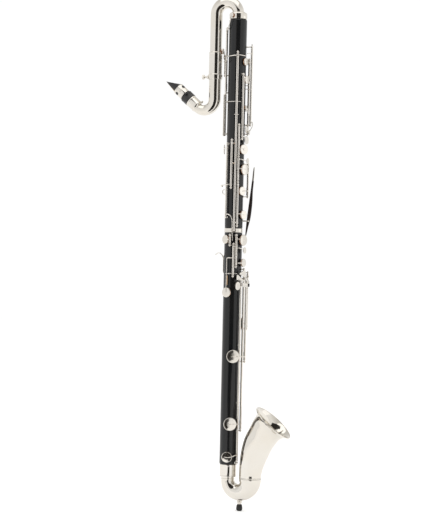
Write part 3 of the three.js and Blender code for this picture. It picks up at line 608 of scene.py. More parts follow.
def make_ligature(seat):
    """A split band with raised beads and drilled ears, its two screws, and two dark windows."""
    far_side = seat @ Matrix.Rotation(math.radians(-110), 4, "Z")
    split = math.asin(1.3 / 15.8)
    steps = 72
    band_turns = [split + (2 * math.pi - 2 * split) * i / steps for i in range(steps + 1)]

    def band(section):
        return ringed([[Vector((r * math.cos(t), r * math.sin(t), z)) for r, z in section]
            for t in band_turns])

    profile = rounded_profile([(15.2, 22), (LIGATURE_R, 22), (LIGATURE_R, 50), (15.2, 50)], 0.3, 3)
    shapes = [band([(15.2, 22.2), *profile[1:-1], (15.2, 49.8)])]
    bead = 0.35
    for z in (24.2, 47.8, 35.2, 36.8):
        shapes.append(band([
            (LIGATURE_R + bead * math.cos(a), z + bead * math.sin(a)) for a in turns(8)]))
    ear = hollow([(2.9, 0), (2.9, 3.1)], [(1.7, 0), (1.7, 3.1)], 28)
    for z in LIGATURE_SCREW_Z.values():
        for side in (-1, 1):
            along_y = Matrix.Rotation(-side * math.pi / 2, 4, "X")
            ear_place = Matrix.Translation((LIGATURE_SEAM_X, side * 1.35, z))
            shapes.append(moved(ear, ear_place @ along_y))
            shapes.append(bar(Vector((15.6, side * 2.6, z)), Vector((17.6, side * 2.8, z)), 1.25, 12))
    piece("ligature_band", all_moved(shapes, far_side), SILVER, "neck_slide", ["ligature"])

    window = turned(rounded_profile([(0.5, 0), (4.9, 0), (4.9, 1.5), (0.5, 1.9)], 0.4), 32)
    middle, lifted = Matrix.Translation((0, 0, 40)), Matrix.Translation((0, 0, 14.9))
    windows = []
    for turn in (153, 46):
        way_out = Matrix.Rotation(math.radians(turn), 4, "Z") @ Matrix.Rotation(math.pi / 2, 4, "Y")
        windows.append(moved(window, seat @ middle @ way_out @ lifted))
    piece("ligature_windows", windows, EBONITE, "neck_slide")

    stem = turned(rounded_profile([
        (0.4, -6), (1.2, -5.8), (1.2, 4.9), (2.0, 5.3), (1.5, 6.4), (3.1, 7.0), (3.5, 7.6),
        (3.5, 11), (3.0, 11.8), (0.4, 12)], 0.25), 24)
    screw = [stem, *knurling(3.4, 7.7, 11, 0.22, 20)]
    for end, z in LIGATURE_SCREW_Z.items():
        place = (far_side @ Matrix.Translation((LIGATURE_SEAM_X, 0, z))
            @ Matrix.Rotation(-math.pi / 2, 4, "X"))
        node = "ligature_screw_" + end
        piece("ligature_thumbscrew_" + end, all_moved(screw, place), SILVER, node, [node])


def make_mouthpiece(way):
    reed_side = Vector((-way.z, 0, way.x))
    seat = axes(reed_side, way.cross(reed_side), way, Vector((RECEIVER["x"], 0, RECEIVER["z"])))
    make_mouthpiece_body(seat)
    make_reed(seat)
    make_ligature(seat)


# ================= elbow, bell and end pin =================
ELBOW = {"x": 32.0, "z": 83.5, "radius": 32.0}
BELL_WALL = 1.3
BELL_COURSE = [  # x, z, heading in degrees, radius
    (64, 94, 90, 30.9), (64.5, 106.5, 88, 31.4), (68.5, 131.5, 82, 34.3), (76, 160.5, 74, 38.4),
    (85, 187.5, 65, 40.9), (98, 211, 57, 42.7), (106.5, 225, 53, 44.9), (115, 233.5, 51, 47.8),
    (121, 239.5, 50, 51.8), (125, 244.5, 49, 57), (127, 247, 48.5, 61.0)]


def make_elbow():
    low, high = 93.0, WOOD_FOOT_Z - 0.3
    ferrule = rounded_profile([
        (18.4, low), (22.8, low), (23.6, low + 1), (23.6, low + 3), (23.2, low + 3.6),
        (23.2, high - 4), (23.6, high - 3.4), (23.6, high - 0.8), (23.0, high)], 0.5)
    sleeve = hollow(ferrule, [(17, low), (BORE_R, low + 3), (BORE_R, high)], 96)
    course = [(0, 95, DOWN, 18.5), (0, 90, DOWN, 18.5)]
    course += bend((ELBOW["x"], ELBOW["z"]), ELBOW["radius"], -180, 0, 56,
        lambda t: 18.5 + 8 * t + 4 * t * t)
    course.append((2 * ELBOW["radius"], 89.6, -DOWN, 30.5))
    collar_outline = rounded_profile([(18.3, 86), (19.6, 86.4), (19.6, 88.6), (18.3, 89)], 0.4)
    collar = hollow(collar_outline, [(18, 86), (18, 89)])
    boss_outline = rounded_profile([
        (0.5, 26.8), (7.6, 26.8), (8.4, 28.4), (7.6, 31), (0.5, 33)], 0.8)
    boss = moved(turned(boss_outline, 48), Matrix.Translation((PIN_AHEAD, 0, 0)))
    piece("elbow_tube", [sleeve, strung(course, BELL_WALL, 80), collar, boss], SILVER,
        stands_for=["elbow"])


def bell_rim(sides=96):
    """The wire rolled into the bell's edge."""
    x, z, heading, radius = BELL_COURSE[-1]
    turn = math.radians(heading)
    along = Vector((math.cos(turn), 0, math.sin(turn)))
    rings = []
    for a in turns(sides):
        out = Vector((-math.sin(turn) * math.cos(a), math.sin(a), math.cos(turn) * math.cos(a)))
        middle = Vector((x, 0, z)) + out * (radius - 0.9) - along * 0.6
        rings.append([middle + (out * math.cos(b) + along * math.sin(b)) * 1.35
            for b in turns(12)])
    return ringed(rings, closed_loop=True)


def make_bell():
    turn_scale = 100  # keeps the heading in step with the millimetres while the course is smoothed
    knots = [Vector((x, z, math.radians(heading) * turn_scale, radius))
             for x, z, heading, radius in BELL_COURSE]
    course = [(64, z, -DOWN, 30.9) for z in (90.4, 92)]
    course += [(x, z, turn / turn_scale, radius) for x, z, turn, radius in smooth_path(knots, 5)]
    low = 90.4
    ring_outline = rounded_profile([
        (29.8, low), (31.2, low), (31.8, low + 0.8), (31.8, low + 2.4), (31.2, low + 3.2),
        (30.6, low + 3.6)], 0.5)
    joint_ring = moved(hollow(ring_outline, [(29.7, low), (29.7, low + 3.6)], 80),
        Matrix.Translation((2 * ELBOW["radius"], 0, 0)))
    piece("bell_flare", [strung(course, BELL_WALL, 96), joint_ring, bell_rim()], SILVER,
        stands_for=["bell"], sharp=50)


def make_end_pin():
    ahead = Matrix.Translation((PIN_AHEAD, 0, 0))
    pin = turned(rounded_profile([
        (0.6, 6), (4, 6), (4, 18.8), (5.3, 18.8), (5.5, 19.4), (5.5, 21.6), (7.0, 22.4), (7.4, 23.2),
        (7.4, 24.6), (6.8, 25.4), (5.6, 26), (5.6, 27.4), (0.6, 27.4)], 0.4), 48)
    piece("end_pin_stem", [moved(pin, ahead)], SILVER, stands_for=["end_pin"])
    tip = hollow(rounded_profile([
        (0.5, 0), (4.6, 0), (7.0, 1.2), (8.3, 3.8), (8.6, 6.5), (8.3, 7.1), (8.5, 7.7), (8.5, 10.5),
        (8.1, 11.1), (8.2, 11.7), (7.9, 14.2), (6.6, 17.6), (5.0, 18.4)], 0.8),
        [(0.5, 5.2), (4.3, 5.7), (4.3, 17.6), (4.6, 18.2)], 48)
    piece("end_pin_rubber", [moved(tip, ahead)], RUBBER, stands_for=["end_pin_tip"])


# ================= fittings =================
def make_thumb_hook():
    side = -85
    rings = []
    for depth, inset in ((0.0, 0.0), (1.1, 0.0), (1.6, 0.5)):
        rings.append([Vector(((7 - inset) * squarer(math.cos(t), 0.45),
            (24.5 - inset) * squarer(math.sin(t), 0.45), depth)) for t in turns(40)])
    base_plate = moved(ringed(rings), facing(side, BODY_R + 0.35, 677))
    screws = [moved(turned([(2.4, 0), (2.4, 0.4), (1.6, 1.0)], 20), facing(side, BODY_R + 1.8, z))
              for z in (659, 686)]
    course = [(25.6, 692), (30, 702), (37, 707.6), (43, 707), (48.2, 702.8)]  # distance, z
    smoothed = smooth_path([Vector((distance, z, 0)) for distance, z in course], 6)
    path = [around(side, distance, z) for distance, z, _ in smoothed]
    across = outward(side + 90)

    def strap(t):
        half = 6.2 + 0.8 * math.sin(math.pi * min(1, t * 1.2))
        return [(half * squarer(math.cos(a), 0.5), 1.15 * math.sin(a)) for a in turns(20)]

    def strap_back(_point, t):
        here = int(t * (len(path) - 1))
        ahead, behind = path[min(len(path) - 1, here + 1)], path[max(0, here - 1)]
        return (ahead - behind).cross(across)

    hook = swept(path, strap, strap_back)
    piece("thumb_hook_plate", [base_plate, hook, *screws], SILVER, stands_for=["thumb_hook"])


def make_strap_eye():
    side, height = -108, 877
    rings = []
    for a in turns(48):
        out = Vector((math.cos(a), math.sin(a), 0))
        rings.append([out * (6.6 + 1.2 * math.cos(b)) + Vector((0, 0, 1.2 * math.sin(b)))
            for b in turns(12)])
    seat = facing(side, 33.6, height) @ Matrix.Rotation(math.pi / 2, 4, "Y")
    eye = moved(ringed(rings, closed_loop=True), seat)
    foot_outline = rounded_profile([
        (0.5, 0.3), (4.2, 0.3), (4.2, 1.2), (2.6, 2.2), (2.2, 3.2), (0.5, 3.6)], 0.4)
    foot = moved(turned(foot_outline, 32), facing(side, BODY_R, height))
    piece("strap_eye", [eye, foot], SILVER, stands_for=["strap_ring"])


def make_back_guard():
    side, strap_z = -76, 1124
    rings = []
    for z, shrink in ((1030, 0.5), (1031, 0.9), (1034, 1.0), (1142, 1.0), (1145, 0.9), (1146, 0.5)):
        rings.append([Vector((1.6 * shrink * squarer(math.cos(a), 0.6), z,
            4.3 * shrink * squarer(math.sin(a), 0.6))) for a in turns(20)])
    rail = moved(ringed(rings), facing(side, 32, 0))
    piece("back_guard_rail", [rail], BRUSHED, stands_for=["back_guard"])
    feet = [post(side, 31, z, with_ball=False) for z in (1036, strap_z)]
    crossing = [(azimuth, radius, strap_z) for azimuth, radius in (
        (side, 27.5), (-60, 26.3), (-45, 26.2), (-20, 26.1), (0, 26.1), (20, 26.1), (43, 26.4))]
    piece("back_guard_feet", [*feet, wire(crossing, 0.95, 0.9)], SILVER)


# ================= hinge rods =================
LINES = {  # azimuth and distance from the bore's axis of each hinge line
    "upper_register": (-75, HINGE_R), "neck_register": (-102, 38.5), "transfer": (18.5, HINGE_R),
    "left_index": (52.6, HINGE_R), "throat": (112, 33), "register_lever": (98, 40),
    "side_bridge": (-2, HINGE_R), "thumb": (-31, HINGE_R), "left_stack": (34, HINGE_R),
    "cross_key": (120, 37), "trill": (-1, HINGE_R), "lower_bridge": (19, HINGE_R),
    "right_stack": (33.5, HINGE_R), "low_first": (66, 31), "low_second": (90, 32.7),
    "low_third": (99, 38.8), "low_fourth": (112, 42),
}
RODS = {  # the ends of each rod, with a post at both unless POSTS says otherwise
    "upper_register": (1149, 1326), "neck_register": (1198, 1252), "transfer": (771, 1259),
    "left_index": (1022, 1199), "throat": (1036, 1242), "register_lever": (1061, 1284),
    "side_bridge": (888, 1018), "thumb": (807, 1008), "left_stack": (783, 1060),
    "cross_key": (864, 954), "trill": (730, 757), "lower_bridge": (645, 733),
    "right_stack": (671, 757), "low_first": (133, 635), "low_second": (221, 664),
    "low_third": (410, 638), "low_fourth": (500, 656),
}
POSTS = {
    "throat": (1036, 1101, 1242), "register_lever": (1061, 1276),
    "left_stack": (783, 903, 973.5, 1060), "low_fourth": (500, 655),
}


def post(azimuth, radius, z, with_ball=True, foot=BODY_R + 0.25):
    """A turned post: a base ring on the wood, a waisted stem and a ball head."""
    height = radius - foot
    neck = max(0.9, height - (BALL_R * 0.8 if with_ball else 0))
    profile = rounded_profile([
        (0.5, 0), (3.1, 0), (3.1, 0.7), (POST_R + 0.2, 1.3), (POST_R - 0.25, neck * 0.6),
        (POST_R, neck), (0.5, neck + 0.3)], 0.3, 3)
    stem = turned(profile, 24)
    if not with_ball:
        return moved(stem, facing(azimuth, foot, z))
    head = ball(Vector((0, 0, height)), BALL_R)
    return moved(joined([stem, head]), facing(azimuth, foot, z))


def make_rods():
    for line, ends in RODS.items():
        posts = POSTS.get(line, ends)
        azimuth, radius = LINES[line]
        foot = BODY_R + (1.45 if line == "transfer" else 0.25)
        shapes = [bar(around(azimuth, radius, ends[0]), around(azimuth, radius, ends[1]), ROD_R, 20)]
        for z in posts:
            shapes.append(post(azimuth, radius, z, foot=foot))
        head = turned([(1.9, 0), (1.9, 0.5), (1.5, 0.9)], 20)
        for z, way in ((max(posts), 1), (min(posts), -1)):
            start = around(azimuth, radius, z + way * (BALL_R - 0.35))
            shapes.append(moved(head, standing(start, Vector((0, 0, way)))))
        piece(line + "_hinge_rod", shapes, SATIN, stands_for=[line + "_rod"])


# ================= keys =================
def cup_dome(diameter, height=CUP_HEIGHT):
    """A pad cup: a skirt, a rounded shoulder and a slightly crowned top with a seat for its arm."""
    radius = diameter / 2
    profile = rounded_profile([
        (radius - 1.2, 0.0), (radius, 0.0), (radius, height * 0.56), (radius * 0.94, height * 0.88),
        (radius * 0.88, height * 0.9), (radius * 0.5, height * 0.98), (0.6, height)], 0.5, 4)
    return turned([(radius - 1.3, 0.9), *profile], 48)


def cup(azimuth, z, diameter):
    return moved(cup_dome(diameter), facing(azimuth, CUP_FLOOR_R, z))


def pad(azimuth, z, diameter):
    """The leather pad in a cup, with its bulging edge showing under the skirt."""
    radius = diameter / 2 - 0.15
    profile = rounded_profile([
        (0.6, 0.1), (radius * 0.8, 0.1), (radius, 0.8), (radius, 2.6), (0.6, 2.8)], 0.7, 4)
    return moved(turned(profile, 48), facing(azimuth, CHIMNEY_TOP_R, z))


# A finger plate's rolled edge, as (rise, inset) from its underside to its dish.
PLATE_EDGE = ((0.0, 0.9), (0.35, 0.25), (1.1, 0.0), (1.8, 0.25), (2.2, 1.1), (1.9, 2.6))


def touch(azimuth, z, radius, wide, tall):
    """A finger plate: oval, softly dished, with a rolled edge."""
    rings = []
    for rise, inset in (*PLATE_EDGE, (1.75, 5.2)):
        scale_x = max(0.6, wide / 2 - inset)
        scale_y = max(0.6, tall / 2 - inset)
        rings.append([Vector((scale_x * math.cos(a), scale_y * math.sin(a), rise))
            for a in turns(40)])
    return moved(ringed(rings), facing(azimuth, radius, z))


def plate(facing_azimuth, distance, outline):
    """A finger plate of free outline, (across, z), in an upright plane at a distance in front of
    the bore's axis, softly dished like the oval ones."""
    corners = [Vector((x, z, 0)) for x, z in outline]
    middle = sum(corners, Vector()) / len(corners)
    looped = smooth_path([corners[-1], *corners, corners[0], corners[1]], 5)[5:-6]
    out, across = outward(facing_azimuth), outward(facing_azimuth + 90)
    rings = []
    for rise, inset in (*PLATE_EDGE, (1.8, 4.4)):
        ring = []
        for point in looped:
            arm = point - middle
            kept = middle + arm * max(0.15, 1 - inset / arm.length)
            ring.append(across * kept.x + out * (distance + rise) + Vector((0, 0, kept.y)))
        rings.append(ring)
    return ringed(rings)


def key_tube(line, ends):
    """The hinge tube, with a soldered collar at each end."""
    azimuth, radius = LINES[line]
    low, high = ends
    collar = TUBE_R + 0.35
    outline = rounded_profile([
        (2.0, low), (collar, low), (collar, low + 3.2), (TUBE_R, low + 3.7),
        (TUBE_R, high - 3.7), (collar, high - 3.2), (collar, high), (2.0, high)], 0.25, 2)
    tube = hollow(outline, [(1.8, low), (1.8, high)], 24)
    return moved(tube, Matrix.Translation(around(azimuth, radius, 0)))


def arm_root(line, z):
    """A short sleeve where an arm is soldered to its tube."""
    azimuth, radius = LINES[line]
    sleeve = turned(rounded_profile([(2.0, -2.6), (3.3, -2.6), (3.3, 2.6), (2.0, 2.6)], 0.6, 3), 24)
    return moved(sleeve, Matrix.Translation(around(azimuth, radius, z)))


# Each key: its hinge line, the ends of its tube, how far it stands open at rest in degrees,
# arms through (azimuth, radius, z), cups (azimuth, z, diameter), oval touches
# (azimuth, z, radius, wide, tall), plates of free outline, solder balls and cup bosses.
KEYS = {
    "upper_register_key": dict(line="upper_register", tube=(1153, 1322), arms=[
        [(-75, 30, 1317), (-58, 30.5, 1322), (-40, 30.6, 1332), (-27, 31, 1347), (-23, 31.4, 1361)]],
        cups=[(-23, 1361, 13)]),
    "transfer_shaft": dict(line="transfer", tube=(775, 1255), arms=[
        [(18.5, 30, 1250), (0, 29.6, 1250), (-20, 29.4, 1249), (-42, 30, 1248)],
        [(-38, 29.8, 1248.5), (-43, 31.6, 1248), (-44, 33, 1245), (-44, 33.4, 1240.5)],
        [(18.5, 30, 1250), (32, 30.2, 1251), (50, 31, 1250), (60, 33, 1249)]]),
    "left_index_key": dict(line="left_index", tube=(1026, 1195), open_by=-REST_OPEN, arms=[
        [(52.6, 30, 1190), (62, 31.4, 1190), (72, 31.6, 1187), (79, 31.4, 1185)],
        [(52.6, 30, 1028), (64, 31.4, 1028), (76, 31.6, 1023), (82, 31.2, 1020)]],
        cups=[(80, 1185, 22)], touches=[(85, 1019, 29.8, 22, 23)]),
    "throat_key": dict(line="throat", tube=(1105, 1238), arms=[
        [(112, 33, 1234), (98, 33, 1234), (82, 31.6, 1234), (73, 31.5, 1234)],
        [(112, 33, 1112), (122, 35, 1112), (130, 36, 1110)]],
        cups=[(72, 1234, 21)], touches=[(134, 1110, 34.6, 12, 18)]),
    "index_ring_key": dict(line="throat", tube=(1040, 1097), open_by=7, arms=[
        [(112, 33, 1048), (98, 33, 1048), (84, 31.8, 1048)],
        [(112, 33, 1092), (98, 32.6, 1096), (82, 31.6, 1103), (75, 31.5, 1107)]],
        cups=[(74, 1108, 12)], touches=[(77, 1048, 29.8, 17.5, 21)]),
    "register_lever": dict(line="register_lever", tube=(1065, 1272), arms=[
        [(98, 40, 1257), (88, 39, 1257), (76, 37, 1257), (66, 36, 1256)],
        [(98, 40, 1069), (97, 45, 1069), (94, 46.5, 1058), (90, 40, 1044)]],
        touches=[(90, 1040, 37.6, 11, 14)]),
    "side_bridge_key": dict(line="side_bridge", tube=(892, 1014), arms=[
        [(-2, 30, 1009), (5, 31, 1009), (11, 30.4, 1009)],
        [(-2, 30, 955), (5, 31, 955), (10.5, 30.4, 955)],
        [(-2, 30, 896), (-10, 33, 896), (-20, 35.4, 895), (-35, 35.4, 894.5), (-50, 35.4, 894),
         (-67, 35.7, 893.5), (-84, 36, 893)]], balls=[(-86, 36, 893, 3.4)]),
    "left_thumb_key": dict(line="thumb", tube=(811, 1004), arms=[
        [(-31, 30, 996), (-50, 31, 996), (-70, 30.8, 994), (-78, 30.6, 993)],
        [(-31, 30, 815), (-16, 29.6, 814), (0, 29.4, 810), (8, 29.4, 798), (9.4, 29.4, 782),
         (9.4, 29.4, 766), (12, 29.2, 754), (12, 29, 742)]],
        touches=[(-80, 993, 29.4, 18, 28)]),
    "left_middle_key": dict(line="left_stack", tube=(977.5, 1056), open_by=-REST_OPEN, arms=[
        [(34, 30, 997), (46, 32, 996), (58, 32, 994), (66, 31.6, 993)]], cups=[(67, 993, 27.5)],
        bosses=[(67, 993)]),
    "left_ring_key": dict(line="left_stack", tube=(907, 969.5), open_by=-REST_OPEN, arms=[
        [(34, 30, 940), (48, 32, 940), (66, 31.8, 939), (77, 31.6, 938)],
        [(34, 30, 966), (50, 33.4, 965), (72, 33.4, 962), (88, 32.8, 961)]],
        cups=[(78, 938, 30.5)], touches=[(94, 962, 31.6, 15, 17)]),
    "upper_bridge_key": dict(line="left_stack", tube=(787, 899), open_by=-REST_OPEN, arms=[
        [(34, 30, 816), (48, 32, 816), (65, 31.7, 814), (74, 31.6, 813.5)],
        [(34, 30, 792), (29, 32, 792), (25, 33, 792)]], cups=[(75, 813.5, 24.5)]),
    "cross_key": dict(line="cross_key", tube=(868, 950), arms=[
        [(120, 37, 880), (104, 36.4, 880), (88, 33.8, 880), (76, 31.8, 879), (65, 31.5, 879)],
        [(120, 37, 944), (130, 39.5, 944), (137, 40, 944)]],
        cups=[(64, 879, 24)], touches=[(140, 944, 38.6, 14, 20)]),
    "trill_key": dict(line="trill", tube=(734, 753), arms=[
        [(-1, 30, 745), (-10, 31.8, 745), (-22, 31.8, 745.5), (-30, 31.6, 745.5)]],
        cups=[(-31, 745.5, 24)]),
    "lower_bridge_key": dict(line="lower_bridge", tube=(649, 729), arms=[
        [(19, 30, 695), (6, 30, 695), (-8, 29.8, 695), (-14, 29.8, 694), (-16, 30, 690),
         (-16, 30.2, 660), (-16, 31.0, 620), (-16, 31.6, 606), (-16, 31.5, 600)]],
        cups=[(-16, 600, 27)]),
    "right_index_key": dict(line="right_stack", tube=(729, 753), open_by=-REST_OPEN, arms=[
        [(33.5, 30, 747), (48, 32, 747), (66, 31.8, 745), (79, 31.6, 744)]], cups=[(80, 744, 31)]),
    "right_middle_key": dict(line="right_stack", tube=(703, 728.5), open_by=-REST_OPEN, arms=[
        [(33.5, 30, 722), (50, 32.6, 722), (76, 32.4, 718), (83, 32, 717)]],
        touches=[(85, 716, 31, 17, 17.6)]),
    "right_ring_key": dict(line="right_stack", tube=(675, 702.5), open_by=-REST_OPEN, arms=[
        [(33.5, 30, 681), (50, 32, 681), (75, 31.8, 682), (84, 31.5, 682)]], cups=[(85, 682, 23)]),
    "low_first_key": dict(line="low_first", tube=(137, 631), open_by=7, arms=[
        [(66, 31, 155), (50, 32.6, 154), (28, 32.4, 150), (12, 32.5, 149), (-4, 32.4, 149)],
        [(66, 31, 618), (58, 33, 618), (50, 34, 618)]],
        cups=[(6, 149, 29)], touches=[(41, 618.5, 33, 16, 23)], plates=[(40, 33, [
            (-2, 649.5), (3.5, 646.5), (13, 638.5), (21.5, 632.5), (19.5, 629.8), (11, 633), (3, 635.5),
            (-3, 635), (-4, 643)])]),
    "low_second_key": dict(line="low_second", tube=(225, 660), open_by=6, arms=[
        [(90, 32.7, 240), (82, 37.4, 240), (66, 37.8, 240), (46, 34.6, 240), (31, 32.6, 239.5),
         (20, 32.4, 239.5), (7, 32.6, 239.5)],
        [(90, 32.7, 650), (80, 35.6, 650), (70, 36.6, 649)]],
        cups=[(18, 239.5, 36)], plates=[(40, 32.5, [
            (20, 663), (24, 656), (24, 645.5), (18, 642.5), (12, 647), (3, 651.5), (9, 656),
            (14.5, 660.5)])]),
    "low_third_key": dict(line="low_third", tube=(414, 634), open_by=6, arms=[
        [(99, 38.8, 425), (88, 41.2, 425), (66, 40, 425), (48, 35.6, 425), (38, 32.8, 425),
         (26, 32.4, 425), (14, 32.6, 425)],
        [(99, 38.8, 623), (90, 41, 623), (82, 41.6, 622)]],
        cups=[(24.5, 425, 36)], plates=[(40, 32, [
            (14, 627.2), (22, 626.8), (30.5, 624.6), (30.5, 617), (24, 615.6), (17, 616),
            (12.8, 620)])]),
    "low_fourth_key": dict(line="low_fourth", tube=(504, 651), arms=[
        [(112, 42, 515), (118, 38.4, 515), (126, 32.4, 515), (133, 31.6, 515)],
        [(112, 42, 645), (103, 44.4, 645), (94, 44.6, 641), (86, 42.6, 636)]],
        cups=[(134, 515, 30)], plates=[(40, 30, [
            (26, 646), (32, 638), (36.5, 631), (38, 627.6), (33, 627.2), (28, 631), (23.4, 638)])]),
}


def rest_turn(line, angle):
    """Turns a shape, built with its pads shut, to where the key stands at rest."""
    azimuth, radius = LINES[line]
    axis = Matrix.Translation(around(azimuth, radius, 0))
    return axis @ Matrix.Rotation(math.radians(angle), 4, "Z") @ axis.inverted()


def make_key(name, line, tube, arms, cups=(), touches=(), plates=(), balls=(), bosses=(),
        open_by=0.0):
    """The satin working parts and the polished plates and cups of one key, and its pads."""
    works = [key_tube(line, tube)]
    works += [wire(knots) for knots in arms]
    works += [arm_root(line, knots[0][2]) for knots in arms]
    works += [ball(around(*place[:3]), place[3]) for place in balls]
    polished = [cup(*place) for place in cups]
    polished += [touch(*place) for place in touches]
    polished += [plate(*place) for place in plates]
    for azimuth, z in bosses:
        button = rounded_disc(4.2, 0, 1.1, 0.5)
        polished.append(moved(button, facing(azimuth, CUP_FLOOR_R + CUP_HEIGHT - 0.2, z)))
    turn = rest_turn(line, open_by)
    piece(name + "_works", all_moved(works, turn), SATIN, name, [name])
    if polished:
        piece(name + "_plates", all_moved(polished, turn), SILVER, name)
    if cups:
        pads = [moved(pad(*place), turn) for place in cups]
        piece(name + "_pads", pads, LEATHER, name)


def make_neck_register_key():
    """The vent's cup on the neck, and the lever that meets the transfer shaft's prong."""
    azimuth, radius = LINES["neck_register"]
    vent = Vector((LEG_X + 20.9, 0, 1264.5))
    start = around(azimuth, radius, 1239)
    path = smooth_path([start, Vector((-39.4, 1.5, 1246)), Vector((-38.6, 0, 1254)),
        vent + Vector((3.4, 0, 0))], 6)
    arm = swept(path, lambda _t: oval(ARM_R * 1.1, ARM_R * 0.9),
        lambda _point, _t: Vector((-1, 0, 0.01)))
    linking = [(-102, 38.5, 1238), (-88, 37.5, 1236), (-70, 36.8, 1234), (-54, 35.6, 1235),
        (-40, 35, 1238)]
    works = [key_tube("neck_register", (1202, 1248)), arm, wire(linking), arm_root("neck_register", 1238),
        ball(around(-39, 35, 1238.4), 2.2)]
    piece("neck_register_key_works", works, SATIN, "neck_register_key", ["neck_register_key"])
    dome = rounded_profile([(7.0, 0), (8.2, 0), (8.2, 1.8), (6.0, 3.2), (0.6, 3.6)], 0.6, 3)
    seat = standing(vent, RIGHT)
    piece("neck_register_key_plates", [moved(turned(dome, 40), seat)], SILVER, "neck_register_key")
    leather = rounded_profile([(0.5, -1.6), (4.4, -1.6), (7.4, -0.8), (7.4, 0.6), (0.5, 0.8)], 0.4)
    piece("neck_register_key_pads", [moved(turned(leather, 40), seat)], LEATHER, "neck_register_key")


LEVER = {"across": 40.0, "z": 797.0, "plane": 104.0}
LEVER_EDGES = [  # the blade's left and right edge, each (across, z)
    [(52.6, 946), (50.6, 940), (47.6, 908), (44.5, 880), (40.2, 843), (36, 806), (33.8, 778),
     (32.6, 760), (33.2, 754.6)],
    [(54.2, 946), (54.6, 938), (53.0, 908), (51.0, 880), (50.0, 843), (46.2, 806), (41.0, 784),
     (36.4, 762), (34.4, 754.6)]]


def blade_ring(left, right, sideways, through):
    """The blade's rounded section between a point of its left edge and one of its right."""
    middle = sideways * ((left.x + right.x) / 2) + Vector((0, 0, (left.y + right.y) / 2))
    half = (sideways * (right.x - left.x) + Vector((0, 0, right.y - left.y))) / 2
    return [middle + half * squarer(math.cos(a), 0.6) + through * (1.95 * squarer(math.sin(a), 0.6))
            for a in turns(16)]


def make_little_lever():
    """The left little finger's long blade, its silver tip and the pivot it rocks on."""
    sideways, through = outward(LEVER["plane"]), outward(LEVER["plane"] - 90)
    edges = [smooth_path([Vector((x, z, 0)) for x, z in edge], 4) for edge in LEVER_EDGES]
    rings = [blade_ring(left, right, sideways, through) for left, right in zip(*edges)]
    tip_count = 9
    piece("left_little_blade", [ringed(rings[tip_count - 1:])], DARK_STREAKED,
        "left_little_lever", ["left_little_lever"])
    piece("left_little_tip", [ringed(rings[:tip_count])], SILVER, "left_little_lever")

    pivot = sideways * LEVER["across"] + Vector((0, 0, LEVER["z"]))
    near, far = pivot + through * 5.4, pivot - through * 5.4
    shapes = [bar(near, far, 1.5), ball(near, 2.6), ball(far, 2.6)]
    for end in (near, far):
        azimuth = math.degrees(math.atan2(end.x, -end.y))
        reach = math.hypot(end.x, end.y)
        shapes.append(post(azimuth, reach, LEVER["z"], with_ball=False))
    piece("left_little_pivot_posts", shapes, SILVER, stands_for=["left_little_pivot"])


def make_rod_guides():
    """Forked guides along the long rods, and a bar across below the plate cluster."""
    guides = []
    base = BODY_R + 0.25
    for line, z in (("transfer", 1088), ("low_first", 298), ("low_first", 456), ("low_second", 350),
                    ("register_lever", 1160), ("throat", 1170)):
        azimuth, radius = LINES[line]
        for side in (-1, 1):
            prong = azimuth + math.degrees(math.asin((TUBE_R + 1.5) / radius)) * side
            guides.append(ball(around(prong, radius, z), 1.5, 14, 8))
            guides.append(bar(around(prong, base, z), around(prong, radius, z), 0.9, 10))
        left, right = (around(azimuth + turn, base + 0.4, z) for turn in (-7, 7))
        guides.append(bar(left, right, 0.9, 10))
    crossing = [(azimuth, BODY_R + 1.5, 652) for azimuth in range(-30, 46, 5)]
    guides += [wire(crossing, 0.9, 1.0), ball(around(-3, BODY_R + 2.6, 652), 2.1)]
    piece("rod_guides", guides, SATIN)


def make_springs():
    springs = []
    for line, ends in RODS.items():
        azimuth, radius = LINES[line]
        foot = min(POSTS.get(line, ends))
        start = around(azimuth + 4, radius - 3.2, foot + 1.0)
        end = around(azimuth + 2.5, radius - 3.6, foot + min(26, (ends[1] - ends[0]) * 0.5))
        springs.append(bar(start, end, 0.3, 8))
    piece("needle_springs", springs, SPRING_STEEL)


def make_corks_and_roller():
    corks = []
    for azimuth, radius, z in ((11, 28.4, 1009), (10.5, 28.4, 955)):
        corks.append(moved(rounded_disc(2.0, 0, 1.3, 0.3, 20), facing(azimuth, radius - 0.9, z)))
    piece("side_bridge_corks", corks, CORK, "side_bridge_key")
    strip = bar(around(-13, 29.2, 621), around(-13, 29.2, 646), 1.2, 12)
    piece("lower_bridge_cork", [strip], CORK, "lower_bridge_key")
    roller = rounded_disc(2.4, 0, 9, 0.6, 24, 3)
    spot = outward(40) * 33.2 + outward(130) * 35.0 + Vector((0, 0, 616.6))
    piece("low_third_roller", [moved(roller, Matrix.Translation(spot))], EBONITE, "low_third_key")


# ================= stage =================
VIEW = {
    "azimuth": 18.0, "distance": 4.8, "height": 0.696, "aside": -0.059, "lens": 122.0,
    "sensor": 36.0, "roll": 1.33,
}


def make_camera():
    out = outward(VIEW["azimuth"])
    right = outward(VIEW["azimuth"] + 90)
    target = Vector((-PIN_AHEAD * MM, 0, VIEW["height"])) + right * VIEW["aside"]
    camera = bpy.data.cameras.new("camera")
    camera.sensor_fit = "VERTICAL"
    camera.sensor_height = VIEW["sensor"]
    camera.lens = VIEW["lens"]
    camera.clip_end = 50
    made = bpy.data.objects.new("camera", camera)
    bpy.context.scene.collection.objects.link(made)
    turn = (-out).to_track_quat("-Z", "Y").to_matrix().to_4x4()
    made.matrix_world = (Matrix.Translation(target + out * VIEW["distance"]) @ turn
        @ Matrix.Rotation(math.radians(VIEW["roll"]), 4, "Z"))
    bpy.context.scene.camera = made


